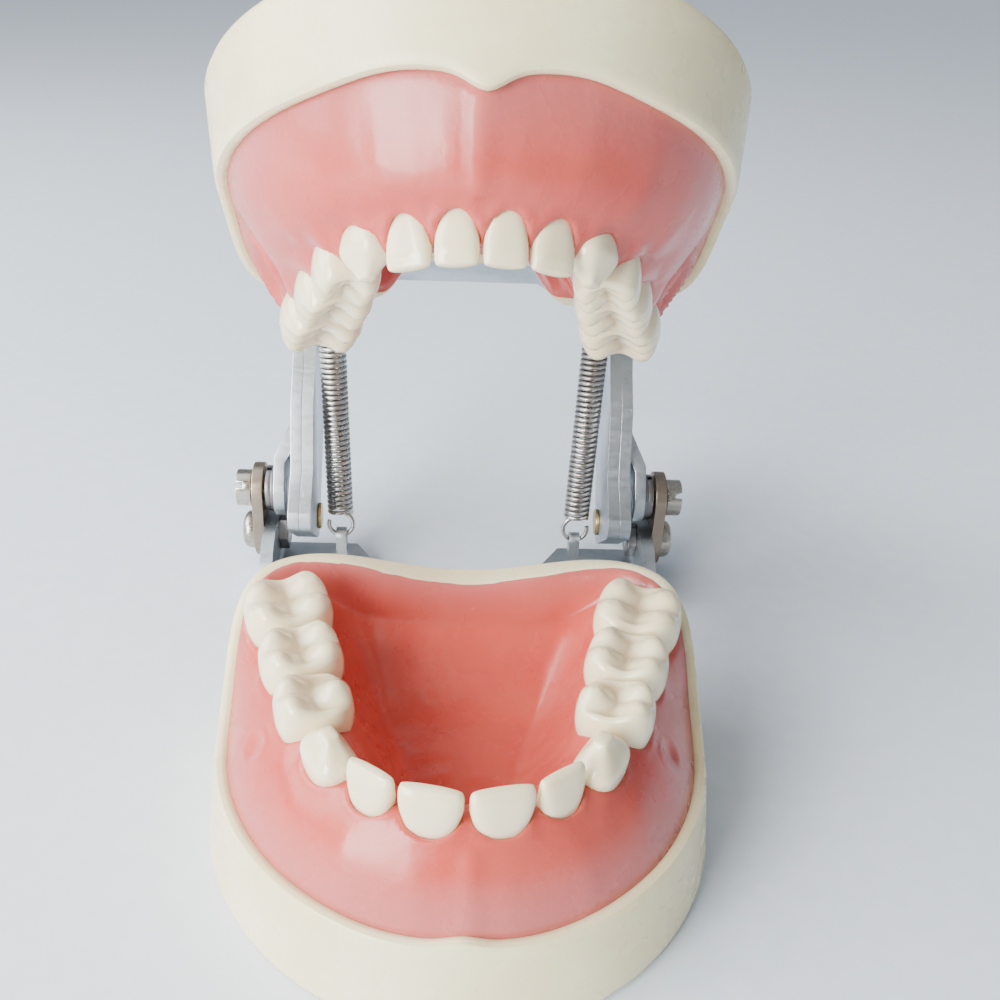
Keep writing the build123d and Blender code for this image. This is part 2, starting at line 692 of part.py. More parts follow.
def make_hinge_screw(sign):
    """The slotted cheese-head screw that turns in the link and is threaded into the lug."""
    plane = side_plane(sign * (LINK_OUTER + SIDE_GAP))
    spot = (HINGE_Y, HINGE_Z)
    with BuildPart() as screw:
        disc(plane, spot, CHEESE_HEAD_RADIUS, 0, sign * CHEESE_HEAD)
        disc(plane, spot, HINGE_RADIUS, 0, -sign * (LINK_OUTER + SIDE_GAP - LUG_INNER))
        with BuildSketch(plane.offset(sign * CHEESE_HEAD)):
            with Locations(spot):
                Rectangle(3 * CHEESE_HEAD_RADIUS, SCREW_SLOT)
        extrude(amount=-sign * SCREW_SLOT_DEPTH, mode=Mode.SUBTRACT)
    return screw.part


def make_flat_washer(sign):
    """The plain washer against the outer face of a lug."""
    plane = side_plane(sign * LUG_OUTER)
    with BuildPart() as washer:
        disc(plane, (HINGE_Y, HINGE_Z), FLAT_WASHER_RADIUS, 0, sign * FLAT_WASHER)
        disc(plane, (HINGE_Y, HINGE_Z), HINGE_RADIUS + WASHER_BORE, 0, sign * FLAT_WASHER, Mode.SUBTRACT)
    return washer.part


def make_spring_washer(sign):
    """A split ring between the flat washer and the link."""
    plane = side_plane(sign * (LUG_OUTER + FLAT_WASHER))
    with BuildPart() as washer:
        disc(plane, (HINGE_Y, HINGE_Z), SPRING_WASHER_RADIUS, 0, sign * SPRING_WASHER)
        disc(plane, (HINGE_Y, HINGE_Z), HINGE_RADIUS + WASHER_BORE, 0, sign * SPRING_WASHER, Mode.SUBTRACT)
        with BuildSketch(plane):
            with Locations((HINGE_Y, HINGE_Z)):
                Rectangle(
                    SPRING_WASHER_GAP, 2 * SPRING_WASHER_RADIUS, align=(Align.CENTER, Align.MIN),
                    rotation=SPRING_WASHER_TURN,
                )
        extrude(amount=sign * SPRING_WASHER, mode=Mode.SUBTRACT)
    return washer.part


def make_spring(sign):
    """An extension spring as its outer tube, with a closed eye at each end."""
    low = Vector(sign * LOW_ANCHOR_X, *LOW_ANCHOR)
    top = opened_point(sign * TOP_ANCHOR_X, TOP_ANCHOR_Y, TOP_ANCHOR_Z)
    run = top - low
    axis = Plane(origin=low, x_dir=(1, 0, -run.X / run.Z), z_dir=run)
    print("spring", "left" if sign < 0 else "right", "eye to eye", round(run.length, 2), "mm")
    with BuildPart() as spring:
        with BuildSketch(axis.offset(SPRING_START)):
            Circle(SPRING_RADIUS)
            Circle(SPRING_RADIUS - SPRING_WIRE, mode=Mode.SUBTRACT)
        extrude(amount=run.length - 2 * SPRING_START)
        for height in (HOOK_RADIUS, run.length - HOOK_RADIUS):
            eye = axis.offset(height)
            with Locations(Plane(origin=eye.origin, x_dir=eye.x_dir, z_dir=eye.y_dir)):
                Torus(HOOK_RADIUS, SPRING_WIRE / 2)
    return spring.part


# ---------------------------------------------------------------- the object
os.makedirs("parts", exist_ok=True)

for jaw, teeth, arch, bowl, facing, placing in (
    ("maxilla", MAXILLA_TEETH, MAXILLA_ARCH, True, 1, as_built),
    ("mandible", MANDIBLE_TEETH, MANDIBLE_ARCH, False, -1, swung),
):
    placed = tooth_planes(teeth, arch, facing)
    crowns = []
    for label, kind, width, depth, plane in placed:
        crown = make_tooth(kind, width, depth, plane)
        crowns.append(crown)
        save(placing(crown), f"{jaw}_{label}")
    base = make_base(bowl, placed, crowns)
    save(placing(base), f"{jaw}_base")
    save(placing(make_gum(bowl, base, placed, crowns)), f"{jaw}_gum")
    save(placing(make_tooth_screws(placed)), f"{jaw}_tooth_screws")
    save(placing(make_bracket_screws()), f"{jaw}_bracket_screws")

save(make_maxilla_bracket(), "maxilla_bracket")
save(opened(make_mandible_bracket()), "mandible_bracket")
for side, sign in SIDES.items():
    save(make_link(sign), f"link_plate_{side}")
    save(make_link_screw(sign), f"link_screw_{side}")
    save(make_link_nut(sign), f"link_nut_{side}")
    save(opened(make_stiffener(sign)), f"arm_stiffener_{side}")
    save(opened(make_rivets(sign)), f"arm_rivets_{side}")
    save(opened(make_hinge_lug(sign)), f"hinge_lug_{side}")
    save(opened(make_hinge_screw(sign)), f"hinge_screw_{side}")
    save(opened(make_flat_washer(sign)), f"flat_washer_{side}")
    save(opened(make_spring_washer(sign)), f"spring_washer_{side}")
    save(make_spring(sign), f"spring_{side}")
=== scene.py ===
"""Looks for a child's typodont: two jaw models on a spring-loaded steel articulator.

Every length in the classes is in millimetres. A jaw's own frame has z = 0 on the outer face of its base,
z growing towards the bite and y growing towards the hinge. The model's frame is in metres, +Z up.
"""

import json
import logging
import math
from dataclasses import dataclass, field
from enum import Enum

import bmesh
import bpy
from mathutils import Matrix, Vector, noise

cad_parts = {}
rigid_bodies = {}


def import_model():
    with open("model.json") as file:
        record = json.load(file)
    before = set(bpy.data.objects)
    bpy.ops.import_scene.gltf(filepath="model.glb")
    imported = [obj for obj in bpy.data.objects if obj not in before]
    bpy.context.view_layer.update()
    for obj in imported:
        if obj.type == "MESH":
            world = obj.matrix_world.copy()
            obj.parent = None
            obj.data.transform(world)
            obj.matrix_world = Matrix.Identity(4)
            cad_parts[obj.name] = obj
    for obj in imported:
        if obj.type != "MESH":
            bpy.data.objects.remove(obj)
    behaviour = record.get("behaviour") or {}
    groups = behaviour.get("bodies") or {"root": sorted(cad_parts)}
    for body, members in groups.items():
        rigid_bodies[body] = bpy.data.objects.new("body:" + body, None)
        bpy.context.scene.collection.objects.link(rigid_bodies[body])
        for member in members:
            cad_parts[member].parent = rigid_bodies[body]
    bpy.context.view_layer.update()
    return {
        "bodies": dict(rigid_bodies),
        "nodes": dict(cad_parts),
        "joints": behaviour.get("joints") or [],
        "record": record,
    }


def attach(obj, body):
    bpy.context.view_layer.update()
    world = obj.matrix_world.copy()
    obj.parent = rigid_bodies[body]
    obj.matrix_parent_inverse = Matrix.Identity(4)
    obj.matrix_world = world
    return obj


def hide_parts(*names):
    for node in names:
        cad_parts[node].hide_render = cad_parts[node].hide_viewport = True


MM = 0.001
OPEN_ANGLE = 35.0
CLOSED_HEIGHT = 50.4
SMOOTH_ANGLE = math.radians(38)
CUSP_ROW = 0.56
INNER_CUSP_GAIN = 1.05
SPRING_TOP_PIVOT = Vector((20.8, 47.5, 44.6))
log = logging.getLogger("typodont")


# ------------------------------------------------------------------ small helpers
def smoothstep(low: float, high: float, value: float) -> float:
    """A share from 0 to 1 that eases in at low and out at high.

    Args:
        low: where the share is 0.
        high: where the share is 1.
        value: the value to place between them.

    Returns:
        The eased share.
    """
    t = min(max((value - low) / (high - low), 0.0), 1.0)
    return t * t * (3 - 2 * t)


def mix(a: float, b: float, share: float) -> float:
    """The value a share of the way from a to b."""
    return a + (b - a) * share


def bell(distance: float, width: float) -> float:
    """A rounded bump of height 1 that fades over this width."""
    return math.exp(-((distance / width) ** 2))


def finish_mesh(
    bm: bmesh.types.BMesh, name: str, place: Matrix, smooth: float = SMOOTH_ANGLE
) -> bpy.types.Object:
    """Turns a bmesh in millimetres into a linked object at the origin.

    Args:
        bm: the shape, in its own frame. It is freed here.
        name: the piece's name.
        place: the matrix that carries it to the model's frame, in metres.
        smooth: edges sharper than this angle stay creased.

    Returns:
        The new object.
    """
    bmesh.ops.remove_doubles(bm, verts=bm.verts[:], dist=1e-4)
    bmesh.ops.recalc_face_normals(bm, faces=bm.faces[:])
    bmesh.ops.transform(bm, matrix=place, verts=bm.verts[:])
    mesh = bpy.data.meshes.new(name)
    bm.to_mesh(mesh)
    bm.free()
    mesh.shade_smooth()
    mesh.set_sharp_from_angle(angle=smooth)
    piece = bpy.data.objects.new(name, mesh)
    bpy.context.scene.collection.objects.link(piece)
    return piece


def even_normals(piece: bpy.types.Object) -> None:
    """Shades wide flat faces flat, so that only the rounded edges between them catch the light."""
    modifier = piece.modifiers.new("even_normals", "WEIGHTED_NORMAL")
    modifier.keep_sharp = True


def install(
    piece: bpy.types.Object, body: str, slot: str, material: bpy.types.Material, *nodes: str
) -> None:
    """Dresses a piece, fastens it to its body and lets it stand for its nodes.

    Args:
        piece: the finished piece.
        body: the body it moves with.
        slot: the record's material slot; not used.
        material: its finish.
        nodes: the nodes that it stands for.
    """
    piece.data.materials.clear()
    piece.data.materials.append(material)
    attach(piece, body)
    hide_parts(*nodes)
    log.info("%s rides on %s", piece.name, body)


# ------------------------------------------------------------------ node groups
class Bench:
    """Adds nodes to one node tree and wires them."""

    def __init__(self, tree: bpy.types.NodeTree) -> None:
        """Keeps the tree to work on."""
        self.tree = tree

    def add(self, kind: str, **values: object) -> bpy.types.Node:
        """Adds a node.

        Args:
            kind: the node's type name after ShaderNode.
            values: socket values or linked sockets by socket name, with _ for a space; names of node
                properties in lower case are set on the node itself.

        Returns:
            The new node.
        """
        node = self.tree.nodes.new("ShaderNode" + kind)
        for name, value in values.items():
            if name[0].islower():
                setattr(node, name, value)
        for name, value in values.items():
            if name[0].islower():
                continue
            key = int(name[1:]) if name[1:].isdigit() else name.replace("_", " ")
            socket = node.inputs[key]
            if isinstance(value, bpy.types.NodeSocket):
                self.tree.links.new(value, socket)
            else:
                socket.default_value = value
        return node

    def noise(
        self, vector: bpy.types.NodeSocket, scale: object, detail: float = 4.0, rough: float = 0.5
    ) -> bpy.types.NodeSocket:
        """The value of a noise texture at this scale."""
        node = self.add("TexNoise", Vector=vector, Scale=scale, Detail=detail, Roughness=rough)
        return node.outputs["Fac"]

    def ramp(
        self, value: bpy.types.NodeSocket, low: float, high: float, start: float = 0.0, end: float = 1.0
    ) -> bpy.types.NodeSocket:
        """A value remapped smoothly, so that low becomes start and high becomes end."""
        ranges = {"From_Min": low, "From_Max": high, "To_Min": start, "To_Max": end}
        return self.add("MapRange", interpolation_type="SMOOTHSTEP", Value=value, **ranges).outputs["Result"]

    def blend(self, share: bpy.types.NodeSocket, a: object, b: object) -> bpy.types.NodeSocket:
        """A colour mixed from a to b by a share."""
        node = self.add("Mix", data_type="RGBA", I0=share)
        for socket, value in ((node.inputs[6], a), (node.inputs[7], b)):
            if isinstance(value, bpy.types.NodeSocket):
                self.tree.links.new(value, socket)
            else:
                socket.default_value = (*value, 1.0)
        return node.outputs[2]

    def maths(self, operation: str, a: object, b: object = 0.0) -> bpy.types.NodeSocket:
        """Two values put through a Math node."""
        return self.add("Math", operation=operation, I0=a, I1=b).outputs[0]


class Effect(Enum):
    """The surface effects that several finishes share."""

    MOULDED = "moulded_surface"
    BRUSHED = "brushed_surface"
    HANDLING = "handling_marks"


def group_for(effect: Effect) -> bpy.types.NodeTree:
    """The node group of an effect, made the first time it is asked for.

    Args:
        effect: which effect.

    Returns:
        The group, with named inputs and outputs.
    """
    known = bpy.data.node_groups.get(effect.value)
    if known:
        return known
    tree = bpy.data.node_groups.new(effect.value, "ShaderNodeTree")
    tree.interface.new_socket(name="Vector", in_out="INPUT", socket_type="NodeSocketVector")
    for name in ("Scale", "Amount"):
        tree.interface.new_socket(name=name, in_out="INPUT", socket_type="NodeSocketFloat")
    for name in ("Mask", "Height"):
        tree.interface.new_socket(name=name, in_out="OUTPUT", socket_type="NodeSocketFloat")
    bench = Bench(tree)
    given = tree.nodes.new("NodeGroupInput")
    result = tree.nodes.new("NodeGroupOutput")
    vector, scale, amount = (given.outputs[n] for n in ("Vector", "Scale", "Amount"))
    if effect is Effect.MOULDED:
        broad = bench.noise(vector, scale, 3.0)
        fine = bench.noise(vector, bench.maths("MULTIPLY", scale, 9.0), 5.0)
        mask = bench.ramp(broad, 0.3, 0.7)
        height = bench.maths("ADD", broad, bench.maths("MULTIPLY", fine, 0.12))
    elif effect is Effect.BRUSHED:
        stretched = bench.add("Mapping", Vector=vector, Scale=(1.0, 9.0, 0.45)).outputs[0]
        lines = bench.noise(stretched, scale, 6.0, 0.65)
        blotch = bench.noise(vector, bench.maths("MULTIPLY", scale, 0.16), 3.0)
        mask = bench.ramp(blotch, 0.35, 0.68)
        height = bench.maths("ADD", lines, bench.maths("MULTIPLY", blotch, 0.35))
    else:
        cells = bench.add("TexVoronoi", feature="DISTANCE_TO_EDGE", Vector=vector, Scale=scale)
        breakup = bench.noise(vector, bench.maths("MULTIPLY", scale, 2.3), 4.0)
        hairline = bench.ramp(cells.outputs["Distance"], 0.0, 0.03, 1.0, 0.0)
        mask = bench.maths("MULTIPLY", hairline, bench.ramp(breakup, 0.52, 0.66))
        height = bench.maths("SUBTRACT", 1.0, mask)
    tree.links.new(bench.maths("MULTIPLY", mask, amount), result.inputs["Mask"])
    tree.links.new(bench.maths("MULTIPLY", height, amount), result.inputs["Height"])
    return tree


def new_material(name: str) -> tuple[bpy.types.Material, Bench, bpy.types.Node, bpy.types.NodeSocket]:
    """Starts a material.

    Args:
        name: the finish's name.

    Returns:
        The material, its bench, its Principled shader and its Object coordinates.
    """
    material = bpy.data.materials.new(name)
    material.use_nodes = True
    tree = material.node_tree
    bench = Bench(tree)
    return material, bench, tree.nodes["Principled BSDF"], bench.add("TexCoord").outputs["Object"]


def effect_node(
    bench: Bench, effect: Effect, vector: bpy.types.NodeSocket, scale: float, amount: float
) -> bpy.types.Node:
    """Places a shared effect in a material.

    Args:
        bench: the material's bench.
        effect: which effect.
        vector: the coordinates it follows.
        scale: how fine it is, per metre.
        amount: how strong it is.

    Returns:
        The group node, with its outputs Mask and Height.
    """
    node = bench.tree.nodes.new("ShaderNodeGroup")
    node.node_tree = group_for(effect)
    bench.tree.links.new(vector, node.inputs["Vector"])
    node.inputs["Scale"].default_value = scale
    node.inputs["Amount"].default_value = amount
    return node


# ------------------------------------------------------------------ finishes
@dataclass(frozen=True)
class IvoryPlastic:
    """The satin cream plastic of the two bases."""

    light: tuple[float, float, float] = (0.91, 0.83, 0.54)
    deep: tuple[float, float, float] = (0.86, 0.75, 0.44)
    roughness: float = 0.27

    def make(self) -> bpy.types.Material:
        """The finished material."""
        material, bench, shader, vector = new_material("ivory_plastic")
        link = bench.tree.links.new
        cast = effect_node(bench, Effect.MOULDED, vector, 70.0, 1.0)
        marks = effect_node(bench, Effect.HANDLING, vector, 160.0, 0.3)
        speck = bench.ramp(bench.noise(vector, 900.0, 2.0), 0.70, 0.78)
        tone = bench.blend(cast.outputs["Mask"], self.light, self.deep)
        dirty = bench.blend(bench.maths("MULTIPLY", speck, 0.25), tone, (0.42, 0.36, 0.24))
        link(dirty, shader.inputs["Base Color"])
        cloud = bench.noise(vector, 210.0)
        rough = bench.ramp(cloud, 0.3, 0.7, self.roughness - 0.06, self.roughness + 0.08)
        worn = bench.maths("MULTIPLY", marks.outputs["Mask"], 0.3)
        link(bench.maths("ADD", rough, worn), shader.inputs["Roughness"])
        bump = bench.add("Bump", Strength=0.16, Distance=0.0004, Height=cast.outputs["Height"])
        scuffs = bench.add("Bump", Strength=0.06, Distance=0.0001, Height=marks.outputs["Height"])
        link(bump.outputs[0], scuffs.inputs["Normal"])
        link(scuffs.outputs[0], shader.inputs["Normal"])
        shader.inputs["Subsurface Weight"].default_value = 0.25
        shader.inputs["Subsurface Radius"].default_value = (1.0, 0.8, 0.45)
        shader.inputs["Subsurface Scale"].default_value = 0.0015
        shader.inputs["IOR"].default_value = 1.49
        return material


@dataclass(frozen=True)
class SoftGum:
    """The glossy soft pink gum, paler and mauve where it thins at its rim."""

    body: tuple[float, float, float] = (0.57, 0.075, 0.055)
    pale: tuple[float, float, float] = (0.66, 0.135, 0.095)
    mauve: tuple[float, float, float] = (0.54, 0.14, 0.13)
    deep: tuple[float, float, float] = (0.42, 0.040, 0.032)
    roughness: float = 0.24

    def make(self) -> bpy.types.Material:
        """The finished material."""
        material, bench, shader, vector = new_material("soft_gum")
        link = bench.tree.links.new
        rim = bench.add("Attribute", attribute_name="rim").outputs["Fac"]
        socket = bench.add("Attribute", attribute_name="socket").outputs["Fac"]
        cast = effect_node(bench, Effect.MOULDED, vector, 110.0, 1.0)
        mottle = bench.ramp(bench.noise(vector, 420.0, 6.0, 0.62), 0.35, 0.72)
        tone = bench.blend(bench.maths("MULTIPLY", cast.outputs["Mask"], 0.35), self.body, self.pale)
        tone = bench.blend(bench.maths("MULTIPLY", mottle, 0.07), tone, self.deep)
        tone = bench.blend(bench.maths("MULTIPLY", rim, 0.8), tone, self.mauve)
        tone = bench.blend(bench.maths("MULTIPLY", socket, 0.6), tone, self.pale)
        link(tone, shader.inputs["Base Color"])
        grain = bench.noise(vector, 160.0, 5.0)
        rough = bench.ramp(grain, 0.3, 0.72, self.roughness - 0.03, self.roughness + 0.10)
        link(rough, shader.inputs["Roughness"])
        wave = bench.add("Bump", Strength=0.28, Distance=0.0008, Height=cast.outputs["Height"])
        pits = bench.add("Bump", Strength=0.14, Distance=0.00012, Height=bench.noise(vector, 1500.0, 3.0))
        link(wave.outputs[0], pits.inputs["Normal"])
        link(pits.outputs[0], shader.inputs["Normal"])
        shader.inputs["Subsurface Weight"].default_value = 0.35
        shader.inputs["Subsurface Radius"].default_value = (1.0, 0.35, 0.25)
        shader.inputs["Subsurface Scale"].default_value = 0.0018
        shader.inputs["IOR"].default_value = 1.45
        shader.inputs["Coat Weight"].default_value = 0.25
        shader.inputs["Coat Roughness"].default_value = 0.20
        return material


@dataclass(frozen=True)
class ToothEnamel:
    """Polished melamine, a little yellow at the neck, with painted shade in the fissures."""

    crown: tuple[float, float, float] = (0.91, 0.79, 0.51)
    neck: tuple[float, float, float] = (0.76, 0.64, 0.40)
    # painted shade: the brown that the fissures between the cusps darken to
    fissure: tuple[float, float, float] = (0.66, 0.50, 0.28)
    roughness: float = 0.16

    def make(self) -> bpy.types.Material:
        """The finished material."""
        material, bench, shader, vector = new_material("tooth_enamel")
        link = bench.tree.links.new
        neck = bench.add("Attribute", attribute_name="neck").outputs["Fac"]
        fissure = bench.add("Attribute", attribute_name="fissure").outputs["Fac"]
        cloud = effect_node(bench, Effect.MOULDED, vector, 260.0, 1.0)
        tone = bench.blend(bench.maths("MULTIPLY", neck, 0.75), self.crown, self.neck)
        tone = bench.blend(bench.maths("MULTIPLY", cloud.outputs["Mask"], 0.18), tone, (0.88, 0.84, 0.70))
        # painted shade: the enamel darkens to brown deep in the fissures
        tone = bench.blend(bench.maths("MULTIPLY", fissure, 0.8), tone, self.fissure)
        link(tone, shader.inputs["Base Color"])
        grain = bench.noise(vector, 500.0)
        rough = bench.ramp(grain, 0.3, 0.7, self.roughness - 0.05, self.roughness + 0.09)
        link(rough, shader.inputs["Roughness"])
        bump = bench.add("Bump", Strength=0.2, Distance=0.00025, Height=cloud.outputs["Height"])
        link(bump.outputs[0], shader.inputs["Normal"])
        shader.inputs["Subsurface Weight"].default_value = 0.3
        shader.inputs["Subsurface Radius"].default_value = (1.0, 0.85, 0.6)
        shader.inputs["Subsurface Scale"].default_value = 0.0012
        shader.inputs["IOR"].default_value = 1.6
        shader.inputs["Coat Weight"].default_value = 0.3
        shader.inputs["Coat Roughness"].default_value = 0.06
        return material


@dataclass(frozen=True)
class PlatedMetal:
    """A metal finish with brushing, blotches, handling marks and darker tarnish."""

    name: str
    bright: tuple[float, float, float]
    dull: tuple[float, float, float]
    roughness: float = 0.32
    grain: float = 420.0
    grain_depth: float = 0.25

    def make(self) -> bpy.types.Material:
        """The finished material."""
        material, bench, shader, vector = new_material(self.name)
        link = bench.tree.links.new
        brushed = effect_node(bench, Effect.BRUSHED, vector, self.grain, 1.0)
        marks = effect_node(bench, Effect.HANDLING, vector, self.grain * 0.6, 0.8)
        stain = bench.ramp(bench.noise(vector, self.grain * 1.7, 5.0, 0.6), 0.52, 0.75)
        tone = bench.blend(brushed.outputs["Mask"], self.bright, self.dull)
        tone = bench.blend(bench.maths("MULTIPLY", stain, 0.35), tone, tuple(c * 0.6 for c in self.dull))
        link(tone, shader.inputs["Base Color"])
        satin, dull = self.roughness - 0.08, self.roughness + 0.14
        rough = bench.ramp(brushed.outputs["Height"], 0.3, 1.0, satin, dull)
        worn = bench.maths("MULTIPLY", marks.outputs["Mask"], 0.25)
        link(bench.maths("ADD", rough, worn), shader.inputs["Roughness"])
        height = brushed.outputs["Height"]
        lines = bench.add("Bump", Strength=self.grain_depth, Distance=0.00006, Height=height)
        nicks = bench.add("Bump", Strength=0.3, Distance=0.00005, Height=marks.outputs["Height"])
        link(lines.outputs[0], nicks.inputs["Normal"])
        link(nicks.outputs[0], shader.inputs["Normal"])
        shader.inputs["Metallic"].default_value = 1.0
        return material


# ------------------------------------------------------------------ dental arches
class ToothShape(Enum):
    """How a crown is shaped."""

    INCISOR = "incisor"
    CANINE = "canine"
    MOLAR = "molar"


@dataclass(frozen=True)
class Cusp:
    """One cusp of a molar.

    Attributes:
        along: its place along the arch, as a share of the half width (+ is away from the midline).
        across: its place across the arch, as a share of the half depth (+ is towards the cheek).
        height: its height above the fissures.
        spread: its radius.
    """

    along: float
    across: float
    height: float
    spread: float


@dataclass(frozen=True)
class Tooth:
    """One kind of tooth: its label, shape, and the width and depth of its crown.

    Attributes:
        kind: the last part of its node's name.
        shape: how the crown is shaped.
        width: mesiodistal width.
        depth: buccolingual depth.
        cusps: its cusps, on a molar.
    """

    kind: str
    shape: ToothShape
    width: float
    depth: float
    cusps: tuple[Cusp, ...] = ()


def molar_cusps(
    outer: tuple[float, ...], inner: tuple[float, ...], height: float, spread: float
) -> tuple[Cusp, ...]:
    """The cusps of a molar: a row towards the cheek and a row inside.

    Args:
        outer: places of the outer cusps along the arch.
        inner: places of the inner cusps along the arch.
        height: cusp height.
        spread: cusp radius.

    Returns:
        The cusps.
    """
    cheek = [Cusp(place, CUSP_ROW, height, spread) for place in outer]
    tongue = [Cusp(place, -CUSP_ROW, height * INNER_CUSP_GAIN, spread) for place in inner]
    return tuple(cheek + tongue)


@dataclass(frozen=True)
class Placed:
    """A tooth at its place in the arch: where it stands and which way it runs.

    Attributes:
        label: side and kind, as in its node's name.
        tooth: its kind.
        x: across the jaw.
        y: towards the hinge.
        run: unit vector along the arch, away from the midline.
        out: unit vector towards the cheek.
    """

    label: str
    tooth: Tooth
    x: float
    y: float
    run: Vector
    out: Vector

    def local(self, x: float, y: float) -> tuple[float, float]:
        """The place of a point along and across this tooth."""
        away = Vector((x - self.x, y - self.y))
        return away.dot(self.run), away.dot(self.out)


@dataclass(frozen=True)
class Arch:
    """The line that the teeth stand on: a front arc, then two straight flanks that splay."""

    radius: float
    front: float
    splay: float
    gap: float
    teeth: tuple[Tooth, ...]

    @property
    def turn(self) -> float:
        """The angle at which the arc gives way to a flank."""
        return math.radians(90 - self.splay)

    def point(self, distance: float) -> tuple[float, float, float]:
        """The place and heading of the arch line this far from the midline."""
        middle = self.front + self.radius
        if distance < self.radius * self.turn:
            angle = distance / self.radius
            return self.radius * math.sin(angle), middle - self.radius * math.cos(angle), angle
        along = distance - self.radius * self.turn
        x = self.radius * math.sin(self.turn) + along * math.cos(self.turn)
        y = middle - self.radius * math.cos(self.turn) + along * math.sin(self.turn)
        return x, y, self.turn

    def outside(self, x: float, y: float) -> float:
        """How far a point lies outside the arch line, negative inside."""
        away = Vector((abs(x), y - self.front - self.radius))
        bearing = math.atan2(away.x, -away.y)
        if bearing < self.turn:
            return away.length - self.radius
        normal = Vector((math.sin(self.turn), -math.cos(self.turn)))
        return away.dot(normal) - self.radius

    def placed(self, facing: int) -> list[Placed]:
        """Every tooth at its place.

        Args:
            facing: 1 where the left side of the jaw's frame is the left of the model, or -1.

        Returns:
            The teeth of both sides.
        """
        found = []
        for side, sign in (("left", -facing), ("right", facing)):
            distance = self.gap / 2
            for tooth in self.teeth:
                x, y, heading = self.point(distance + tooth.width / 2)
                distance += tooth.width + self.gap
                run = Vector((sign * math.cos(heading), math.sin(heading)))
                out = Vector((sign * math.sin(heading), -math.cos(heading)))
                found.append(Placed(f"{side}_{tooth.kind}", tooth, sign * x, y, run, out))
        return found


# ------------------------------------------------------------------ the two jaws
@dataclass(frozen=True)
class Plan:
    """The D of a jaw seen along its height, as a distance from its middle at every bearing."""

    half_width: float
    front: float
    rear: float
    middle: float = 6.0
    squareness: float = 4.2

    def reach(self, bearing: float, grow: float = 0.0) -> float:
        """How far the outline is from the middle, grown by this much."""
        side = self.half_width + grow
        ahead = self.middle - self.front + grow if math.sin(bearing) < 0 else self.rear - self.middle + grow
        power = 2.0 if math.sin(bearing) < 0 else self.squareness
        wide = abs(math.cos(bearing)) / side
        deep = abs(math.sin(bearing)) / ahead
        return (wide**power + deep**power) ** (-1 / power)


@dataclass(frozen=True)
class Dent:
    """An oval hollow with a raised edge on both outer flanks of a gum.

    Attributes:
        y: its middle, towards the hinge.
        inward: its middle, in from the gum's outline.
        length: half its length along the flank.
        height: half its height.
        depth: how deep it is.
        edge: how far its edge stands out.
    """

    y: float
    inward: float
    length: float
    height: float
    depth: float
    edge: float

    def push(self, x: float, y: float, to_rim: float) -> float:
        """How far in the gum lies at a place."""
        if abs(x) < 14:
            return 0.0
        away = math.hypot((y - self.y) / self.length, (to_rim - self.inward) / self.height)
        return self.depth * (1 - smoothstep(0.2, 1.0, away)) - self.edge * bell(away - 1.1, 0.22)


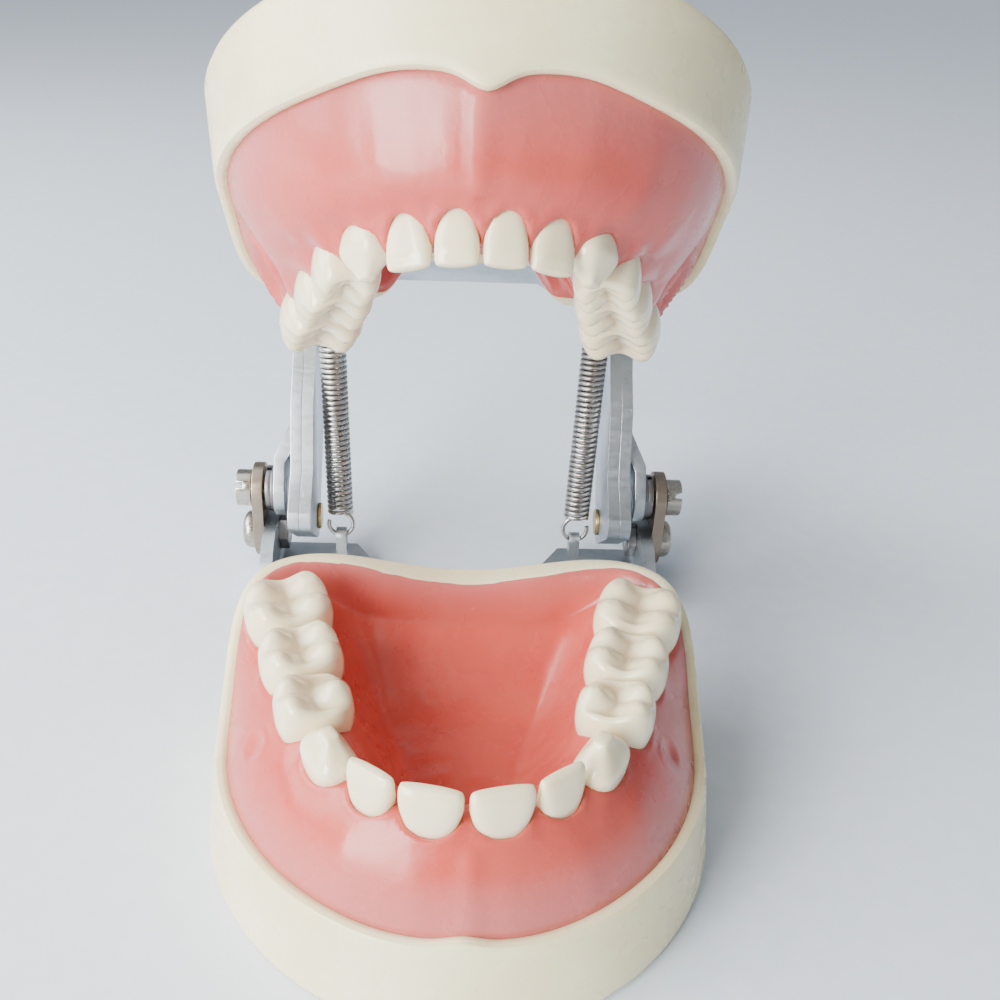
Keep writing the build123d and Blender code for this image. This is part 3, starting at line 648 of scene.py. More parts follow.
@dataclass
class JawModel:
    """One jaw: its ivory base, its gum and its twelve teeth.

    Attributes:
        name: first part of its node names, and the body it rides on.
        body: the body it rides on.
        arch: where its teeth stand.
        facing: 1 upright, -1 turned over.
        place: the matrix from its own frame to the model's.
    """

    name: str
    arch: Arch
    facing: int
    place: Matrix
    plan: Plan = field(default_factory=lambda: Plan(30.5, -27.0, 29.0))
    taper: float = 1.5
    rim_front: float = 13.0
    rim_side: float = 21.0
    rim_dip: float = 3.0
    dip_span: tuple[float, float] = (1.0, 23.0)
    frenum: float = 0.6
    gum_inset: float = 1.5
    rear_inset: float = 3.6
    dents: tuple[Dent, ...] = ()
    rugae: float = 0.0
    ridge: float = 20.2
    papilla: float = 0.5
    swell: float = 2.0
    seat: float = 8.0
    floor: float = 9.6
    floor_rear: float = 17.0
    hollow_width: float = 11.0
    recess_width: float = 18.2
    recess_length: float = 60.0
    recess_front: float = -6.1
    recess_depth: float = 2.0
    bore_radius: float = 1.9
    bore_depth: float = 4.2
    bearings: int = 288
    rings: int = 96
    teeth: list[Placed] = field(init=False)

    def __post_init__(self) -> None:
        """Stands the teeth along the arch."""
        self.teeth = self.arch.placed(self.facing)

    # -------------------------------------------------------------- heights
    def rim_height(self, x: float, y: float) -> float:
        """The height of the base's rim at a point of its outline."""
        climb = smoothstep(0.0, 27.0, y)
        dip = self.rim_dip * smoothstep(23.0, 27.0, y) * (1 - smoothstep(*self.dip_span, abs(x)))
        lobes = self.frenum * 0.5 * bell(abs(x) - 9.0, 6.0)
        notch = (self.frenum * bell(x, 2.4) - lobes) * (1 - smoothstep(-20, -8, y))
        return mix(self.rim_front, self.rim_side, climb) - dip + notch

    def inset(self, bearing: float) -> float:
        """How far the gum's outline lies inside the base's, which is further at the rear."""
        return mix(self.gum_inset, self.rear_inset, smoothstep(0.62, 0.9, math.sin(bearing)))

    def hollow_depth(self, y: float, inside: float) -> float:
        """How far the gum lies below the ridge inside the arch."""
        floor = mix(self.floor, self.floor_rear, smoothstep(8.0, 25.0, y))
        return (self.ridge - floor) * smoothstep(2.2, self.hollow_width, inside)

    def gum_height(self, x: float, y: float, to_rim: float, rim: float) -> tuple[float, float]:
        """The height of the gum's face and how close it is to a tooth.

        Args:
            x: across the jaw.
            y: towards the hinge.
            to_rim: distance in from the gum's outline.
            rim: height of the gum at its outline.

        Returns:
            The height, and a share that is 1 at the edge of a socket.
        """
        outside = self.arch.outside(x, y)
        if outside > 0:
            share = to_rim / (to_rim + max(outside - 1.0, 0.0) + 1e-6)
            rise = 1 - (1 - share) ** self.swell
            height = mix(rim, self.ridge, rise)
            if rim > height:
                height = mix(rim, height, smoothstep(0.0, 2.4, to_rim))
            height += self.relief(x, y, outside)
        else:
            height = self.ridge - self.hollow_depth(y, -outside)
            height = mix(rim, height, smoothstep(0.0, 3.0, to_rim))
            folds = math.sin(1.5 * y + 0.42 * abs(x)) * bell(y + 3.0, 6.0) * smoothstep(3.5, 6.5, -outside)
            height += self.rugae * folds * smoothstep(0.4, 2.2, abs(x))
        height += 0.16 * noise.noise(Vector((x, y, 3.0 * self.facing)) * 0.16)
        height += 0.05 * noise.noise(Vector((x, y, 7.0)) * 0.6)
        return self.with_sockets(x, y, height)

    def relief(self, x: float, y: float, outside: float) -> float:
        """How far the roots and the frenum raise the gum outside the arch."""
        frenum = 0.5 * bell(x - 0.6, 1.1) * smoothstep(1.8, 4.0, outside) * (1 - smoothstep(-17, -14, y))
        roots = sum(
            bell(tooth.local(x, y)[0], tooth.tooth.width * 0.3) * bell(tooth.local(x, y)[1] - 6.0, 2.4)
            for tooth in self.teeth
        )
        return frenum + 0.32 * roots

    def with_sockets(self, x: float, y: float, height: float) -> tuple[float, float]:
        """Raises the gum between the teeth and sinks it under them.

        Args:
            x: across the jaw.
            y: towards the hinge.
            height: the plain height of the gum.

        Returns:
            The height, and a share that is 1 at the edge of a socket.
        """
        nearest = 0.0
        for tooth in self.teeth:
            along, across = tooth.local(x, y)
            wide = tooth.tooth.width / 2
            deep = tooth.tooth.depth / 2
            if abs(along) > wide + 3 or abs(across) > deep + 3:
                continue
            power = 3.0 if tooth.tooth.shape is ToothShape.MOLAR else 2.2
            along_share = abs(along) / (wide * 0.9)
            across_share = abs(across) / (deep * 0.92)
            ring = (along_share**power + across_share**power) ** (1 / power)
            scallop = self.papilla * (abs(along) / wide) ** 2 * bell(ring - 1.0, 0.35)
            lip = 0.30 * bell(ring - 1.06, 0.12)
            height += scallop + lip
            height -= 2.2 * (1 - smoothstep(0.62, 0.90, ring))
            nearest = max(nearest, bell(ring - 0.97, 0.07))
        return height, nearest

    # -------------------------------------------------------------- meshes
    def ring_of(self, bm: bmesh.types.BMesh) -> list[bmesh.types.BMVert]:
        """A closed ring of vertices, one for every bearing."""
        made = bmesh.ops.create_circle(bm, cap_ends=False, segments=self.bearings, radius=1.0)
        return sorted(made["verts"], key=lambda v: math.atan2(v.co.y, v.co.x))

    def next_ring(self, bm: bmesh.types.BMesh, ring: list[bmesh.types.BMVert]) -> list[bmesh.types.BMVert]:
        """Extrudes a ring and returns the new one, in the same order."""
        edges = [bm.edges.get((ring[i - 1], ring[i])) for i in range(len(ring))]
        made = bmesh.ops.extrude_edge_only(bm, edges=edges)
        fresh = [item for item in made["geom"] if isinstance(item, bmesh.types.BMVert)]
        by_old = {}
        for vert in fresh:
            for edge in vert.link_edges:
                other = edge.other_vert(vert)
                if (other.co - vert.co).length < 1e-9 and other not in by_old and other not in fresh:
                    by_old[other] = vert
        return [by_old[old] for old in ring]

    def make_base(self) -> bpy.types.Object:
        """The hard base: a tapered D whose rim is rounded over and steps down to the gum."""
        bm = bmesh.new()
        ring = self.ring_of(bm)
        bm.edges.ensure_lookup_table()
        wall = ((-0.9, 0.0), (-0.3, 0.28), (0.0, 0.9))
        shares = (0.3, 0.6, 0.85)
        lip = ((0.0, -1.1), (-0.05, -0.45), (-0.25, -0.1), (-0.65, 0.0))
        bearings = [2 * math.pi * i / self.bearings - math.pi for i in range(self.bearings)]
        for number in range(len(wall) + len(shares) + len(lip) + 3):
            if number:
                ring = self.next_ring(bm, ring)
            for vert, bearing in zip(ring, bearings):
                edge = self.plan.reach(bearing)
                top = self.rim_height(edge * math.cos(bearing), self.plan.middle + edge * math.sin(bearing))
                inset = self.inset(bearing)
                if number < 3:
                    grow, z = wall[number]
                elif number < 6:
                    grow, z = 0.0, shares[number - 3] * (top - 1.1)
                elif number < 10:
                    grow, z = lip[number - 6][0], top + lip[number - 6][1]
                else:
                    grow = (-inset + 0.5, -inset, -inset - 0.4)[number - 10]
                    z = (top - 0.02, top - 0.3, self.seat)[number - 10]
                reach = self.plan.reach(bearing, grow - self.taper * min(z / self.rim_front, 1.0))
                vert.co = (reach * math.cos(bearing), self.plan.middle + reach * math.sin(bearing), z)
        self.cap(bm)
        piece = finish_mesh(bm, f"{self.name}_ivory_base", Matrix.Identity(4))
        self.cut_underside(piece)
        piece.data.transform(self.place)
        even_normals(piece)
        return piece

    def cap(self, bm: bmesh.types.BMesh) -> None:
        """Closes both open ends of a shape with fans."""
        for _ in range(2):
            open_edges = [e for e in bm.edges if e.is_boundary]
            if not open_edges:
                return
            first = open_edges[0]
            loop, grown = {first}, True
            while grown:
                grown = False
                verts = {v for e in loop for v in e.verts}
                for edge in open_edges:
                    if edge not in loop and (edge.verts[0] in verts or edge.verts[1] in verts):
                        loop.add(edge)
                        grown = True
            made = bmesh.ops.contextual_create(bm, geom=list(loop))
            bmesh.ops.poke(bm, faces=made["faces"])

    def cut_underside(self, piece: bpy.types.Object) -> None:
        """Sinks the bracket's recess and the screws' counterbores into the underside."""
        bm = bmesh.new()
        recess = bmesh.ops.create_cube(bm, size=1.0)
        size = (self.recess_width, self.recess_length, 2 * self.recess_depth)
        bmesh.ops.scale(bm, vec=size, verts=recess["verts"])
        middle = self.recess_front + self.recess_length / 2
        bmesh.ops.translate(bm, vec=(0, middle, 0.0), verts=recess["verts"])
        for tooth in self.teeth:
            bore = bmesh.ops.create_cone(
                bm, cap_ends=True, segments=32, radius1=self.bore_radius, radius2=self.bore_radius,
                depth=2 * self.bore_depth,
            )
            bmesh.ops.translate(bm, vec=(tooth.x, tooth.y, 0.0), verts=bore["verts"])
        cutter = finish_mesh(bm, "underside_cutter", Matrix.Identity(4))
        boolean = piece.modifiers.new("underside", "BOOLEAN")
        boolean.operation = "DIFFERENCE"
        boolean.solver = "EXACT"
        boolean.use_self = True
        boolean.object = cutter
        bpy.context.view_layer.update()
        shaped = bpy.data.meshes.new_from_object(piece.evaluated_get(bpy.context.evaluated_depsgraph_get()))
        piece.modifiers.clear()
        shaped.set_sharp_from_angle(angle=SMOOTH_ANGLE)
        piece.data = shaped
        shaped.name = piece.name
        bpy.data.objects.remove(cutter)

    def make_gum(self) -> bpy.types.Object:
        """The soft gum: a ridge round the arch, a hollow inside it and a soft slope down to the rim."""
        bm = bmesh.new()
        rim_layer = bm.verts.layers.float.new("rim")
        socket_layer = bm.verts.layers.float.new("socket")
        ring = self.ring_of(bm)
        bearings = [2 * math.pi * i / self.bearings - math.pi for i in range(self.bearings)]
        outline = []
        for bearing in bearings:
            edge = self.plan.reach(bearing)
            top = self.rim_height(edge * math.cos(bearing), self.plan.middle + edge * math.sin(bearing))
            edge = self.plan.reach(bearing, 0.12 - self.inset(bearing) - self.taper)
            outline.append((bearing, edge, top - 0.25))
        for vert, (bearing, edge, _) in zip(ring, outline):
            y = self.plan.middle + edge * math.sin(bearing)
            vert.co = (edge * math.cos(bearing), y, self.seat - 0.1)
        for number in range(self.rings):
            ring = self.next_ring(bm, ring)
            share = number / (self.rings - 1)
            inward = 0.985 * (share * 0.75 + 0.25 * share * share)
            for vert, (bearing, edge, rim) in zip(ring, outline):
                reach = edge * (1 - inward)
                x = reach * math.cos(bearing)
                y = self.plan.middle + reach * math.sin(bearing)
                height, nearest = self.gum_height(x, y, edge - reach, rim)
                push = sum(dent.push(x, y, edge - reach) for dent in self.dents)
                push *= smoothstep(0, 0.8, edge - reach)
                x -= math.copysign(push, x)
                vert.co = (x, y, height - 0.4 * max(push, 0.0))
                vert[rim_layer] = 1 - smoothstep(0.0, 2.6, edge - reach)
                vert[socket_layer] = nearest
        self.cap(bm)
        return finish_mesh(bm, f"{self.name}_soft_gum", self.place, math.radians(80))

    def make_tooth(self, placed: Placed) -> bpy.types.Object:
        """One crown on its short neck, sculpted from a sphere."""
        bm = bmesh.new()
        neck_layer = bm.verts.layers.float.new("neck")
        # this layer holds how deep each point lies between the cusps, for the painted shade in the fissures
        fissure_shade_layer = bm.verts.layers.float.new("fissure")
        bmesh.ops.create_uvsphere(bm, u_segments=56, v_segments=44, radius=1.0)
        crown = Crown(placed.tooth)
        turn = Matrix((
            (placed.run.x, placed.out.x, 0, placed.x),
            (placed.run.y, placed.out.y, 0, placed.y),
            (0, 0, 1, 0),
            (0, 0, 0, 1),
        ))
        for vert in bm.verts:
            level = math.acos(max(-1.0, min(1.0, -vert.co.z))) / math.pi
            spot, neck, fissure = crown.surface(math.atan2(vert.co.y, vert.co.x), level)
            vert.co = turn @ spot
            vert[neck_layer] = neck
            vert[fissure_shade_layer] = fissure
        return finish_mesh(bm, f"{self.name}_{placed.label}_crown", self.place, math.radians(180))

    def build(self, finishes: dict[str, bpy.types.Material]) -> None:
        """Makes and dresses every piece of the jaw."""
        install(self.make_base(), self.name, "ivory_base", finishes["ivory"], f"{self.name}_base")
        install(self.make_gum(), self.name, "pink_gum", finishes["gum"], f"{self.name}_gum")
        for placed in self.teeth:
            node = f"{self.name}_{placed.label}"
            install(self.make_tooth(placed), self.name, "tooth_enamel", finishes["enamel"], node)


@dataclass(frozen=True)
class Crown:
    """The surface of one tooth, from the cut end of its neck round to the middle of its bite."""

    tooth: Tooth
    bottom: float = 15.5
    neck: float = 18.6
    bulge: float = 21.8
    top: float = 25.0

    def surface(self, bearing: float, level: float) -> tuple[Vector, float, float]:
        """A point of the crown.

        Args:
            bearing: angle round the tooth, 0 along the arch and a quarter turn towards the cheek.
            level: 0 at the middle of the cut end, 1 at the middle of the bite.

        Returns:
            The point, how much it belongs to the neck and how deep it lies in a fissure, which sets how much
            painted shade the enamel gets there.
        """
        c, s = math.cos(bearing), math.sin(bearing)
        if self.tooth.shape is ToothShape.MOLAR:
            return self.molar(c, s, level)
        return self.front_tooth(c, s, level)

    def wall(self, level: float, start: float, end: float, edge: float) -> tuple[float, float]:
        """The height and the share of the way up for a level on the tooth's wall."""
        share = min(max((level - start) / (end - start), 0.0), 1.0)
        return mix(self.bottom, edge, share), share

    def molar(self, c: float, s: float, level: float) -> tuple[Vector, float, float]:
        """A point of a molar."""
        wide, deep = self.tooth.width / 2, self.tooth.depth / 2
        power = 2.8
        ring = (abs(c) ** power + abs(s) ** power) ** (-1 / power)
        base_edge, wall_end = 0.16, 0.56
        shoulder = self.top - 2.2
        z, share = self.wall(level, base_edge, wall_end, shoulder)
        rise = smoothstep(self.bottom + 1.5, self.bulge - 0.6, z)
        close = smoothstep(self.bulge, self.top, z)
        wide_here = wide * (mix(0.76, 1.0, rise) - 0.14 * close)
        deep_here = deep * (mix(0.76, 1.0, rise) - 0.24 * close)
        if level < base_edge:
            shrink = level / base_edge
            shrink *= ring
            return Vector((c * wide_here * shrink, s * deep_here * shrink, self.bottom)), 1.0, 0.0
        if level <= wall_end:
            spot = Vector((ring * c * wide_here, ring * s * deep_here, z))
            spot.z += self.cusp_height(spot.x, spot.y) * smoothstep(0.55, 1.0, share) * 0.9
            return spot, 1 - smoothstep(self.neck, self.bulge - 0.6, z), 0.0
        inward = (level - wall_end) / (1 - wall_end)
        reach = math.cos(inward * math.pi / 2) ** 0.85
        x = ring * c * wide_here * reach
        y = ring * s * deep_here * reach
        round_over = 0.55 * math.sin(min(inward * 2.2, 1.0) * math.pi / 2)
        lift = self.cusp_height(x, y)
        z = shoulder + round_over + lift * 0.95 - 0.2 * inward
        # painted shade: the deeper a point lies between the cusps, the browner the enamel there
        fissure = (1 - smoothstep(0.15, 0.75, lift)) * smoothstep(0.1, 0.6, inward)
        return Vector((x, y, min(z, self.top))), 0.0, fissure

    def cusp_height(self, x: float, y: float) -> float:
        """How high the bite face stands at a place, above its fissures."""
        wide, deep = self.tooth.width / 2, self.tooth.depth / 2
        heights = sorted(
            (
                cusp.height * bell(math.hypot(x - cusp.along * wide, y - cusp.across * deep), cusp.spread)
                for cusp in self.tooth.cusps
            ),
            reverse=True,
        )
        ridge = 0.45 * bell(abs(x) / wide - 0.84, 0.14) * (1 - smoothstep(0.5, 1.0, abs(y) / deep))
        return heights[0] + 0.22 * sum(heights[1:]) + ridge

    def front_tooth(self, c: float, s: float, level: float) -> tuple[Vector, float, float]:
        """A point of an incisor or a canine."""
        wide, deep = self.tooth.width / 2, self.tooth.depth / 2
        base_edge, wall_end = 0.14, 0.80
        z, _ = self.wall(level, base_edge, wall_end, self.top - 0.35)
        crown_share = smoothstep(self.neck - 0.6, self.top - 1.6, z)
        power = mix(2.1, 3.4, crown_share)
        ring = (abs(c) ** power + abs(s) ** power) ** (-1 / power)
        if self.tooth.shape is ToothShape.CANINE:
            tip = smoothstep(self.bulge - 0.2, self.top, z)
            wide_here = wide * (mix(0.72, 1.0, smoothstep(self.neck, self.bulge, z)) - 0.70 * tip**1.5)
            thick_out = deep * (mix(0.80, 0.92, smoothstep(self.neck, self.bulge - 1, z)) - 0.62 * tip)
            thick_in = deep * (mix(0.80, 0.78, crown_share) - 0.52 * tip)
        else:
            corner = smoothstep(self.top - 1.3, self.top + 0.2, z)
            widening = mix(0.72, 1.0, smoothstep(self.neck - 0.3, self.top - 2.0, z))
            wide_here = wide * (widening - 0.12 * corner**2)
            thick_out = deep * (mix(0.80, 0.50, smoothstep(self.neck, self.top, z)) - 0.22 * corner)
            thick_in = deep * mix(0.78, 0.10, smoothstep(self.neck + 0.4, self.top - 0.6, z))
        x = ring * c * wide_here
        y = ring * s * (thick_out if s > 0 else thick_in)
        y += 0.25 * deep * smoothstep(self.neck, self.top, z) * 0.2
        neck = 1 - smoothstep(self.neck - 0.2, self.bulge - 0.4, z)
        if level < base_edge:
            shrink = level / base_edge
            return Vector((x * shrink, y * shrink, self.bottom)), 1.0, 0.0
        if level > wall_end:
            inward = (level - wall_end) / (1 - wall_end)
            reach = math.cos(inward * math.pi / 2)
            lift = 0.35 * math.sin(inward * math.pi / 2)
            return Vector((x * reach, y * reach, self.top - 0.35 + lift)), 0.0, 0.0
        return Vector((x, y, z)), neck, 0.0


# ------------------------------------------------------------------ the articulator
@dataclass(frozen=True)
class MetalPiece:
    """A node of the articulator that is shown with broken edges.

    Attributes:
        node: the node it stands for.
        body: the body it rides on.
        slot: its material slot.
        finish: which finish it gets.
        edge: how far its edges are broken.
    """

    node: str
    body: str
    slot: str
    finish: str
    edge: float = 0.18

    def build(self, frame: dict, finishes: dict[str, bpy.types.Material]) -> None:
        """Copies the node, joins its loose faces and rounds its edges."""
        bm = bmesh.new()
        bm.from_mesh(frame["nodes"][self.node].data)
        bmesh.ops.scale(bm, vec=(1 / MM, 1 / MM, 1 / MM), verts=bm.verts[:])
        bmesh.ops.remove_doubles(bm, verts=bm.verts[:], dist=0.002)
        bmesh.ops.dissolve_limit(bm, angle_limit=math.radians(1.0), verts=bm.verts[:], edges=bm.edges[:])
        sharp = [e for e in bm.edges if e.is_manifold and e.calc_face_angle(0.0) > math.radians(32)]
        bmesh.ops.bevel(
            bm, geom=sharp, offset=self.edge, offset_type="OFFSET", segments=2, profile=0.5, affect="EDGES",
            clamp_overlap=True, material=-1,
        )
        bmesh.ops.triangulate(bm, faces=[f for f in bm.faces if len(f.verts) > 4])
        piece = finish_mesh(bm, f"{self.node}_finished", Matrix.Scale(MM, 4), math.radians(30))
        even_normals(piece)
        install(piece, self.body, self.slot, finishes[self.finish], self.node)


@dataclass
class Spring:
    """A close-wound extension spring with an open hook at each end.

    Attributes:
        side: "left" or "right".
        low: the middle of its lower hook's seat, in millimetres.
        top: the middle of its upper hook's seat.
    """

    side: str
    low: Vector
    top: Vector
    outer_radius: float = 2.15
    wire: float = 0.36
    pitch: float = 0.86
    start: float = 4.0
    hook_radius: float = 2.0
    steps: int = 22

    def build(self, finishes: dict[str, bpy.types.Material]) -> None:
        """Winds the coil and both hooks along the line between the two seats."""
        bm = bmesh.new()
        run = self.top - self.low
        coil_radius = self.outer_radius - self.wire
        turns = round((run.length - 2 * self.start) / self.pitch)
        pitch = (run.length - 2 * self.start) / turns
        first = Vector((coil_radius, 0, self.start))
        self.wind(bm, first, Vector((0, 0, 0)), Vector((0, 0, 1)), turns, pitch)
        sign = -1 if self.side == "left" else 1
        self.hook(bm, self.hook_radius, -sign)
        self.hook(bm, run.length - self.hook_radius, sign)
        ahead = run.normalized()
        across = Vector((1, 0, -run.x / run.z)).normalized()
        side = ahead.cross(across)
        place = Matrix((
            (across.x, side.x, ahead.x, self.low.x),
            (across.y, side.y, ahead.y, self.low.y),
            (across.z, side.z, ahead.z, self.low.z),
            (0, 0, 0, 1),
        ))
        piece = finish_mesh(bm, f"spring_{self.side}_coil", Matrix.Scale(MM, 4) @ place, math.radians(70))
        install(piece, f"spring_{self.side}", "spring_steel", finishes["spring"], f"spring_{self.side}")

    def wind(
        self, bm: bmesh.types.BMesh, start: Vector, centre: Vector, axis: Vector, turns: float, pitch: float
    ) -> None:
        """Sweeps the wire's section round an axis.

        Args:
            bm: where to add it.
            start: the wire's middle at its first end.
            centre: a point of the axis.
            axis: the axis's direction.
            turns: how many turns, negative the other way.
            pitch: how far the wire climbs along the axis in each turn.
        """
        made = bmesh.ops.create_circle(bm, cap_ends=True, segments=10, radius=self.wire)
        out = (start - centre) - axis * (start - centre).dot(axis)
        out.normalize()
        basis = Matrix((out, axis, axis.cross(out))).transposed().to_4x4()
        bmesh.ops.transform(bm, matrix=Matrix.Translation(start) @ basis, verts=made["verts"])
        faces = [f for f in bm.faces if all(v in set(made["verts"]) for v in f.verts)]
        count = max(8, round(abs(turns) * self.steps))
        bmesh.ops.spin(
            bm, geom=faces, cent=centre, axis=axis, dvec=axis * (pitch * turns / count),
            angle=2 * math.pi * turns, steps=count, use_merge=False, use_duplicate=False,
        )

    def hook(self, bm: bmesh.types.BMesh, height: float, towards: int) -> None:
        """Adds an open hook whose free end stops short of the coil."""
        up = -1 if height > self.hook_radius + 1 else 1
        rise = math.radians(68)
        across = towards * self.hook_radius * math.cos(rise)
        start = Vector((across, 0, height + up * self.hook_radius * math.sin(rise)))
        self.wind(bm, start, Vector((0, 0, height)), Vector((0, 1, 0)), 0.735 * towards * up, 0.0)


def opened(point: Vector, hinge: Vector) -> Vector:
    """A point of the closed lower jaw, carried to the open stop, in millimetres."""
    return hinge + Matrix.Rotation(-math.radians(OPEN_ANGLE), 3, "X") @ (point - hinge)


@dataclass
class Articulator:
    """The steel frame: brackets, arms, hinges and springs.

    Attributes:
        hinge: a point of the jaw hinge's axis.
        low_anchor: where the right spring hooks on, below.
        top_anchor: where the right spring hooks on above, with the model closed.
    """

    hinge: Vector
    low_anchor: Vector
    top_anchor: Vector

    def pieces(self) -> list[MetalPiece]:
        """Every steel piece but the springs."""
        found = [
            MetalPiece("maxilla_bracket", "maxilla", "zinc_plate", "zinc", 0.28),
            MetalPiece("mandible_bracket", "mandible", "zinc_plate", "zinc", 0.28),
            MetalPiece("maxilla_tooth_screws", "maxilla", "screw_steel", "nickel", 0.06),
            MetalPiece("mandible_tooth_screws", "mandible", "screw_steel", "nickel", 0.06),
            MetalPiece("maxilla_bracket_screws", "maxilla", "screw_steel", "nickel", 0.06),
            MetalPiece("mandible_bracket_screws", "mandible", "screw_steel", "nickel", 0.06),
        ]
        for side in ("left", "right"):
            found += [
                MetalPiece(f"arm_stiffener_{side}", "mandible", "zinc_plate", "zinc", 0.28),
                MetalPiece(f"hinge_lug_{side}", "mandible", "zinc_plate", "zinc", 0.22),
                MetalPiece(f"arm_rivets_{side}", "mandible", "rivet_brass", "brass", 0.22),
                MetalPiece(f"hinge_screw_{side}", "mandible", "screw_steel", "nickel", 0.14),
                MetalPiece(f"flat_washer_{side}", "mandible", "screw_steel", "dark", 0.08),
                MetalPiece(f"spring_washer_{side}", "mandible", "screw_steel", "dark", 0.1),
                MetalPiece(f"link_plate_{side}", "maxilla", "bronze_link", "bronze", 0.2),
                MetalPiece(f"link_screw_{side}", "maxilla", "screw_steel", "nickel", 0.1),
                MetalPiece(f"link_nut_{side}", "maxilla", "dark_nut", "dark", 0.16),
            ]
        return found

    def build(self, frame: dict, finishes: dict[str, bpy.types.Material]) -> None:
        """Makes and dresses every steel piece."""
        for piece in self.pieces():
            piece.build(frame, finishes)
        for side, sign in (("left", -1), ("right", 1)):
            mirror = Matrix.Scale(sign, 3, (1, 0, 0))
            top = opened(mirror @ self.top_anchor, self.hinge)
            Spring(side, mirror @ self.low_anchor, top).build(finishes)


# ------------------------------------------------------------------ stage
@dataclass(frozen=True)
class Studio:
    """The pale floor, the soft lights and the camera."""

    target: Vector
    distance: float = 0.12267
    elevation: float = math.radians(30.4)
    yaw: float = math.radians(-1.83)
    roll: float = math.radians(2.28)
    lens: float = 39.58
    shift: tuple[float, float] = (0.0316, 0.0304)

    def build(self) -> None:
        """Sets the stage."""
        self.floor()
        self.light("window_light", (-0.36, -0.38, 0.21), (0.28, 0.38), 7.2, (1.0, 0.985, 0.96))
        self.light("side_light", (-0.45, 0.05, 0.30), (0.40, 0.40), 3.2, (0.97, 0.99, 1.0))
        self.light("fill_light", (0.40, -0.25, 0.35), (0.5, 0.5), 0.15, (0.95, 0.97, 1.0))
        self.light("top_light", (-0.25, 0.12, 0.55), (0.5, 0.5), 1.4, (0.97, 0.98, 1.0))
        sky = bpy.data.lights.new("sky_light", "SUN")
        sky.energy = 1.4
        sky.angle = math.radians(28)
        sky.color = (0.94, 0.97, 1.0)
        holder = bpy.data.objects.new("sky_light", sky)
        holder.rotation_euler = Vector((-0.85, -0.30, 0.85)).to_track_quat("Z", "Y").to_euler()
        bpy.context.scene.collection.objects.link(holder)
        world = bpy.data.worlds.new("daylight")
        world.use_nodes = True
        world.node_tree.nodes["Background"].inputs["Color"].default_value = (0.80, 0.86, 0.95, 1)
        world.node_tree.nodes["Background"].inputs["Strength"].default_value = 0.38
        bpy.context.scene.world = world
        self.camera()

    def floor(self) -> None:
        """A sheet of pale paper."""
        bm = bmesh.new()
        bmesh.ops.create_grid(bm, x_segments=2, y_segments=2, size=3000.0)
        bmesh.ops.translate(bm, vec=(0, 0, -0.05), verts=bm.verts[:])
        floor = finish_mesh(bm, "paper_floor", Matrix.Scale(MM, 4))
        material, bench, shader, vector = new_material("pale_paper")
        fibre = bench.noise(vector, 300.0, 6.0)
        tone = bench.blend(bench.ramp(fibre, 0.3, 0.7), (0.78, 0.85, 0.94), (0.81, 0.88, 0.96))
        bench.tree.links.new(tone, shader.inputs["Base Color"])
        shader.inputs["Roughness"].default_value = 0.7
        floor.data.materials.append(material)

    def light(
        self,
        name: str,
        spot: tuple[float, float, float],
        size: tuple[float, float],
        power: float,
        colour: tuple[float, float, float],
    ) -> None:
        """A soft rectangular light that faces the model.

        Args:
            name: its name.
            spot: where it hangs, in metres.
            size: its width and height.
            power: its strength in watts.
            colour: its tint.
        """
        lamp = bpy.data.lights.new(name, "AREA")
        lamp.shape = "RECTANGLE"
        lamp.size, lamp.size_y = size
        lamp.energy = power
        lamp.color = colour
        holder = bpy.data.objects.new(name, lamp)
        holder.location = spot
        holder.rotation_euler = (Vector(spot) - self.target).to_track_quat("Z", "Y").to_euler()
        bpy.context.scene.collection.objects.link(holder)

    def camera(self) -> None:
        """The camera, close to the model and a little above it."""
        back = Vector((
            math.sin(self.yaw) * math.cos(self.elevation),
            -math.cos(self.yaw) * math.cos(self.elevation),
            math.sin(self.elevation),
        ))
        right = Vector((0, 0, 1)).cross(back).normalized()
        up = back.cross(right)
        turned_right = right * math.cos(self.roll) + up * math.sin(self.roll)
        turned_up = up * math.cos(self.roll) - right * math.sin(self.roll)
        data = bpy.data.cameras.new("camera")
        data.lens = self.lens
        data.shift_x, data.shift_y = self.shift
        data.clip_start = 0.005
        camera = bpy.data.objects.new("camera", data)
        place = Matrix((turned_right, turned_up, back)).transposed().to_4x4()
        camera.matrix_world = Matrix.Translation(self.target + back * self.distance) @ place
        bpy.context.scene.collection.objects.link(camera)
        bpy.context.scene.camera = camera


# ------------------------------------------------------------------ the model
def upper_arch() -> Arch:
    """The teeth of the upper jaw."""
    return Arch(16.0, -18.0, 15.6, 0.35, (
        Tooth("central_incisor", ToothShape.INCISOR, 6.5, 4.8),
        Tooth("lateral_incisor", ToothShape.INCISOR, 5.6, 4.4),
        Tooth("canine", ToothShape.CANINE, 7.2, 5.8),
        Tooth(
            "first_molar", ToothShape.MOLAR, 7.8, 8.6,
            molar_cusps((-0.42, 0.40), (-0.06,), 1.9, 1.75),
        ),
        Tooth(
            "second_molar", ToothShape.MOLAR, 8.8, 9.6,
            molar_cusps((-0.48, 0.42), (-0.40, 0.48), 1.9, 1.85),
        ),
        Tooth(
            "permanent_molar", ToothShape.MOLAR, 10.2, 10.6,
            molar_cusps((-0.48, 0.42), (-0.36, 0.54), 2.0, 2.15),
        ),
    ))


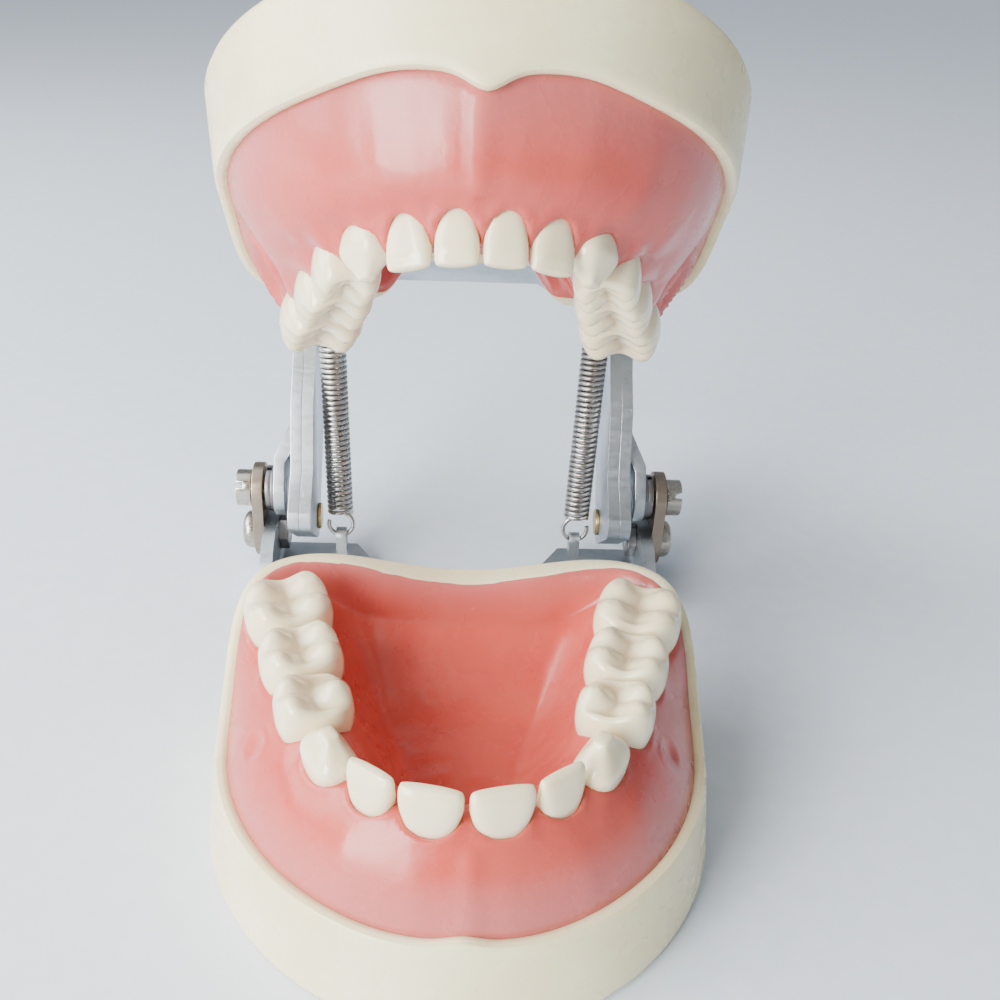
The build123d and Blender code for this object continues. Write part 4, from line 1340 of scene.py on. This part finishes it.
def lower_arch() -> Arch:
    """The teeth of the lower jaw."""
    return Arch(13.5, -17.3, 13.2, 0.25, (
        Tooth("central_incisor", ToothShape.INCISOR, 4.2, 4.0),
        Tooth("lateral_incisor", ToothShape.INCISOR, 4.6, 4.2),
        Tooth("canine", ToothShape.CANINE, 5.9, 5.0),
        Tooth(
            "first_molar", ToothShape.MOLAR, 7.7, 7.0,
            molar_cusps((-0.42, 0.46), (-0.42, 0.46), 1.8, 1.5),
        ),
        Tooth(
            "second_molar", ToothShape.MOLAR, 9.9, 8.6,
            molar_cusps((-0.62, 0.0, 0.62), (-0.45, 0.45), 1.8, 1.7),
        ),
        Tooth(
            "permanent_molar", ToothShape.MOLAR, 11.0, 9.8,
            molar_cusps((-0.6, 0.05, 0.65), (-0.45, 0.45), 1.9, 1.9),
        ),
    ))


def make_finishes() -> dict[str, bpy.types.Material]:
    """Every finish by its plain name."""
    return {
        "ivory": IvoryPlastic().make(),
        "gum": SoftGum().make(),
        "enamel": ToothEnamel().make(),
        "zinc": PlatedMetal("zinc_plate", (0.62, 0.66, 0.69), (0.44, 0.49, 0.53), 0.36).make(),
        "bronze": PlatedMetal("bronze_link", (0.38, 0.31, 0.24), (0.26, 0.21, 0.17), 0.34).make(),
        "nickel": PlatedMetal("nickel_screw", (0.52, 0.48, 0.41), (0.34, 0.31, 0.26), 0.26).make(),
        "dark": PlatedMetal("dark_washer", (0.30, 0.30, 0.31), (0.16, 0.15, 0.15), 0.36).make(),
        "spring": PlatedMetal("spring_wire", (0.58, 0.56, 0.54), (0.40, 0.37, 0.35), 0.26).make(),
        "brass": PlatedMetal("brass_rivet", (0.72, 0.56, 0.28), (0.52, 0.38, 0.18), 0.28).make(),
    }


def main() -> None:
    """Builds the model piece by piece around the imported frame."""
    logging.basicConfig(level=logging.INFO)
    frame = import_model()
    hinge = Vector(frame["joints"][0]["pos_m"]) / MM
    low_pivot = next(j for j in frame["joints"] if j["name"] == "spring_right_pivot")
    finishes = make_finishes()
    upright = Matrix.Scale(MM, 4)
    turn = Matrix.Rotation(-math.radians(OPEN_ANGLE), 4, "X")
    swing = Matrix.Translation(hinge) @ turn @ Matrix.Translation(-hinge)
    over = Matrix.Translation((0, 0, CLOSED_HEIGHT)) @ Matrix.Rotation(math.pi, 4, "Y")
    JawModel(
        "maxilla", upper_arch(), 1, upright, rim_front=11.3, rim_side=23.6, rim_dip=2.6, rugae=0.16,
        dents=(Dent(-3.0, 3.0, 2.4, 1.4, 0.5, 0.1),),
    ).build(finishes)
    JawModel(
        "mandible", lower_arch(), -1, upright @ swing @ over, rim_front=10.3, rim_side=15.5, papilla=1.7,
        rim_dip=5.6, dip_span=(8.0, 14.5), floor_rear=9.6,
        frenum=1.5, swell=2.4, ridge=19.9, dents=(Dent(12.5, 2.9, 6.5, 2.5, 2.0, 1.0),),
    ).build(finishes)
    Articulator(hinge, Vector(low_pivot["pos_m"]) / MM, SPRING_TOP_PIVOT).build(frame, finishes)
    Studio(Vector((0, 0.010, 0.037))).build()


if __name__ == "__main__":
    main()
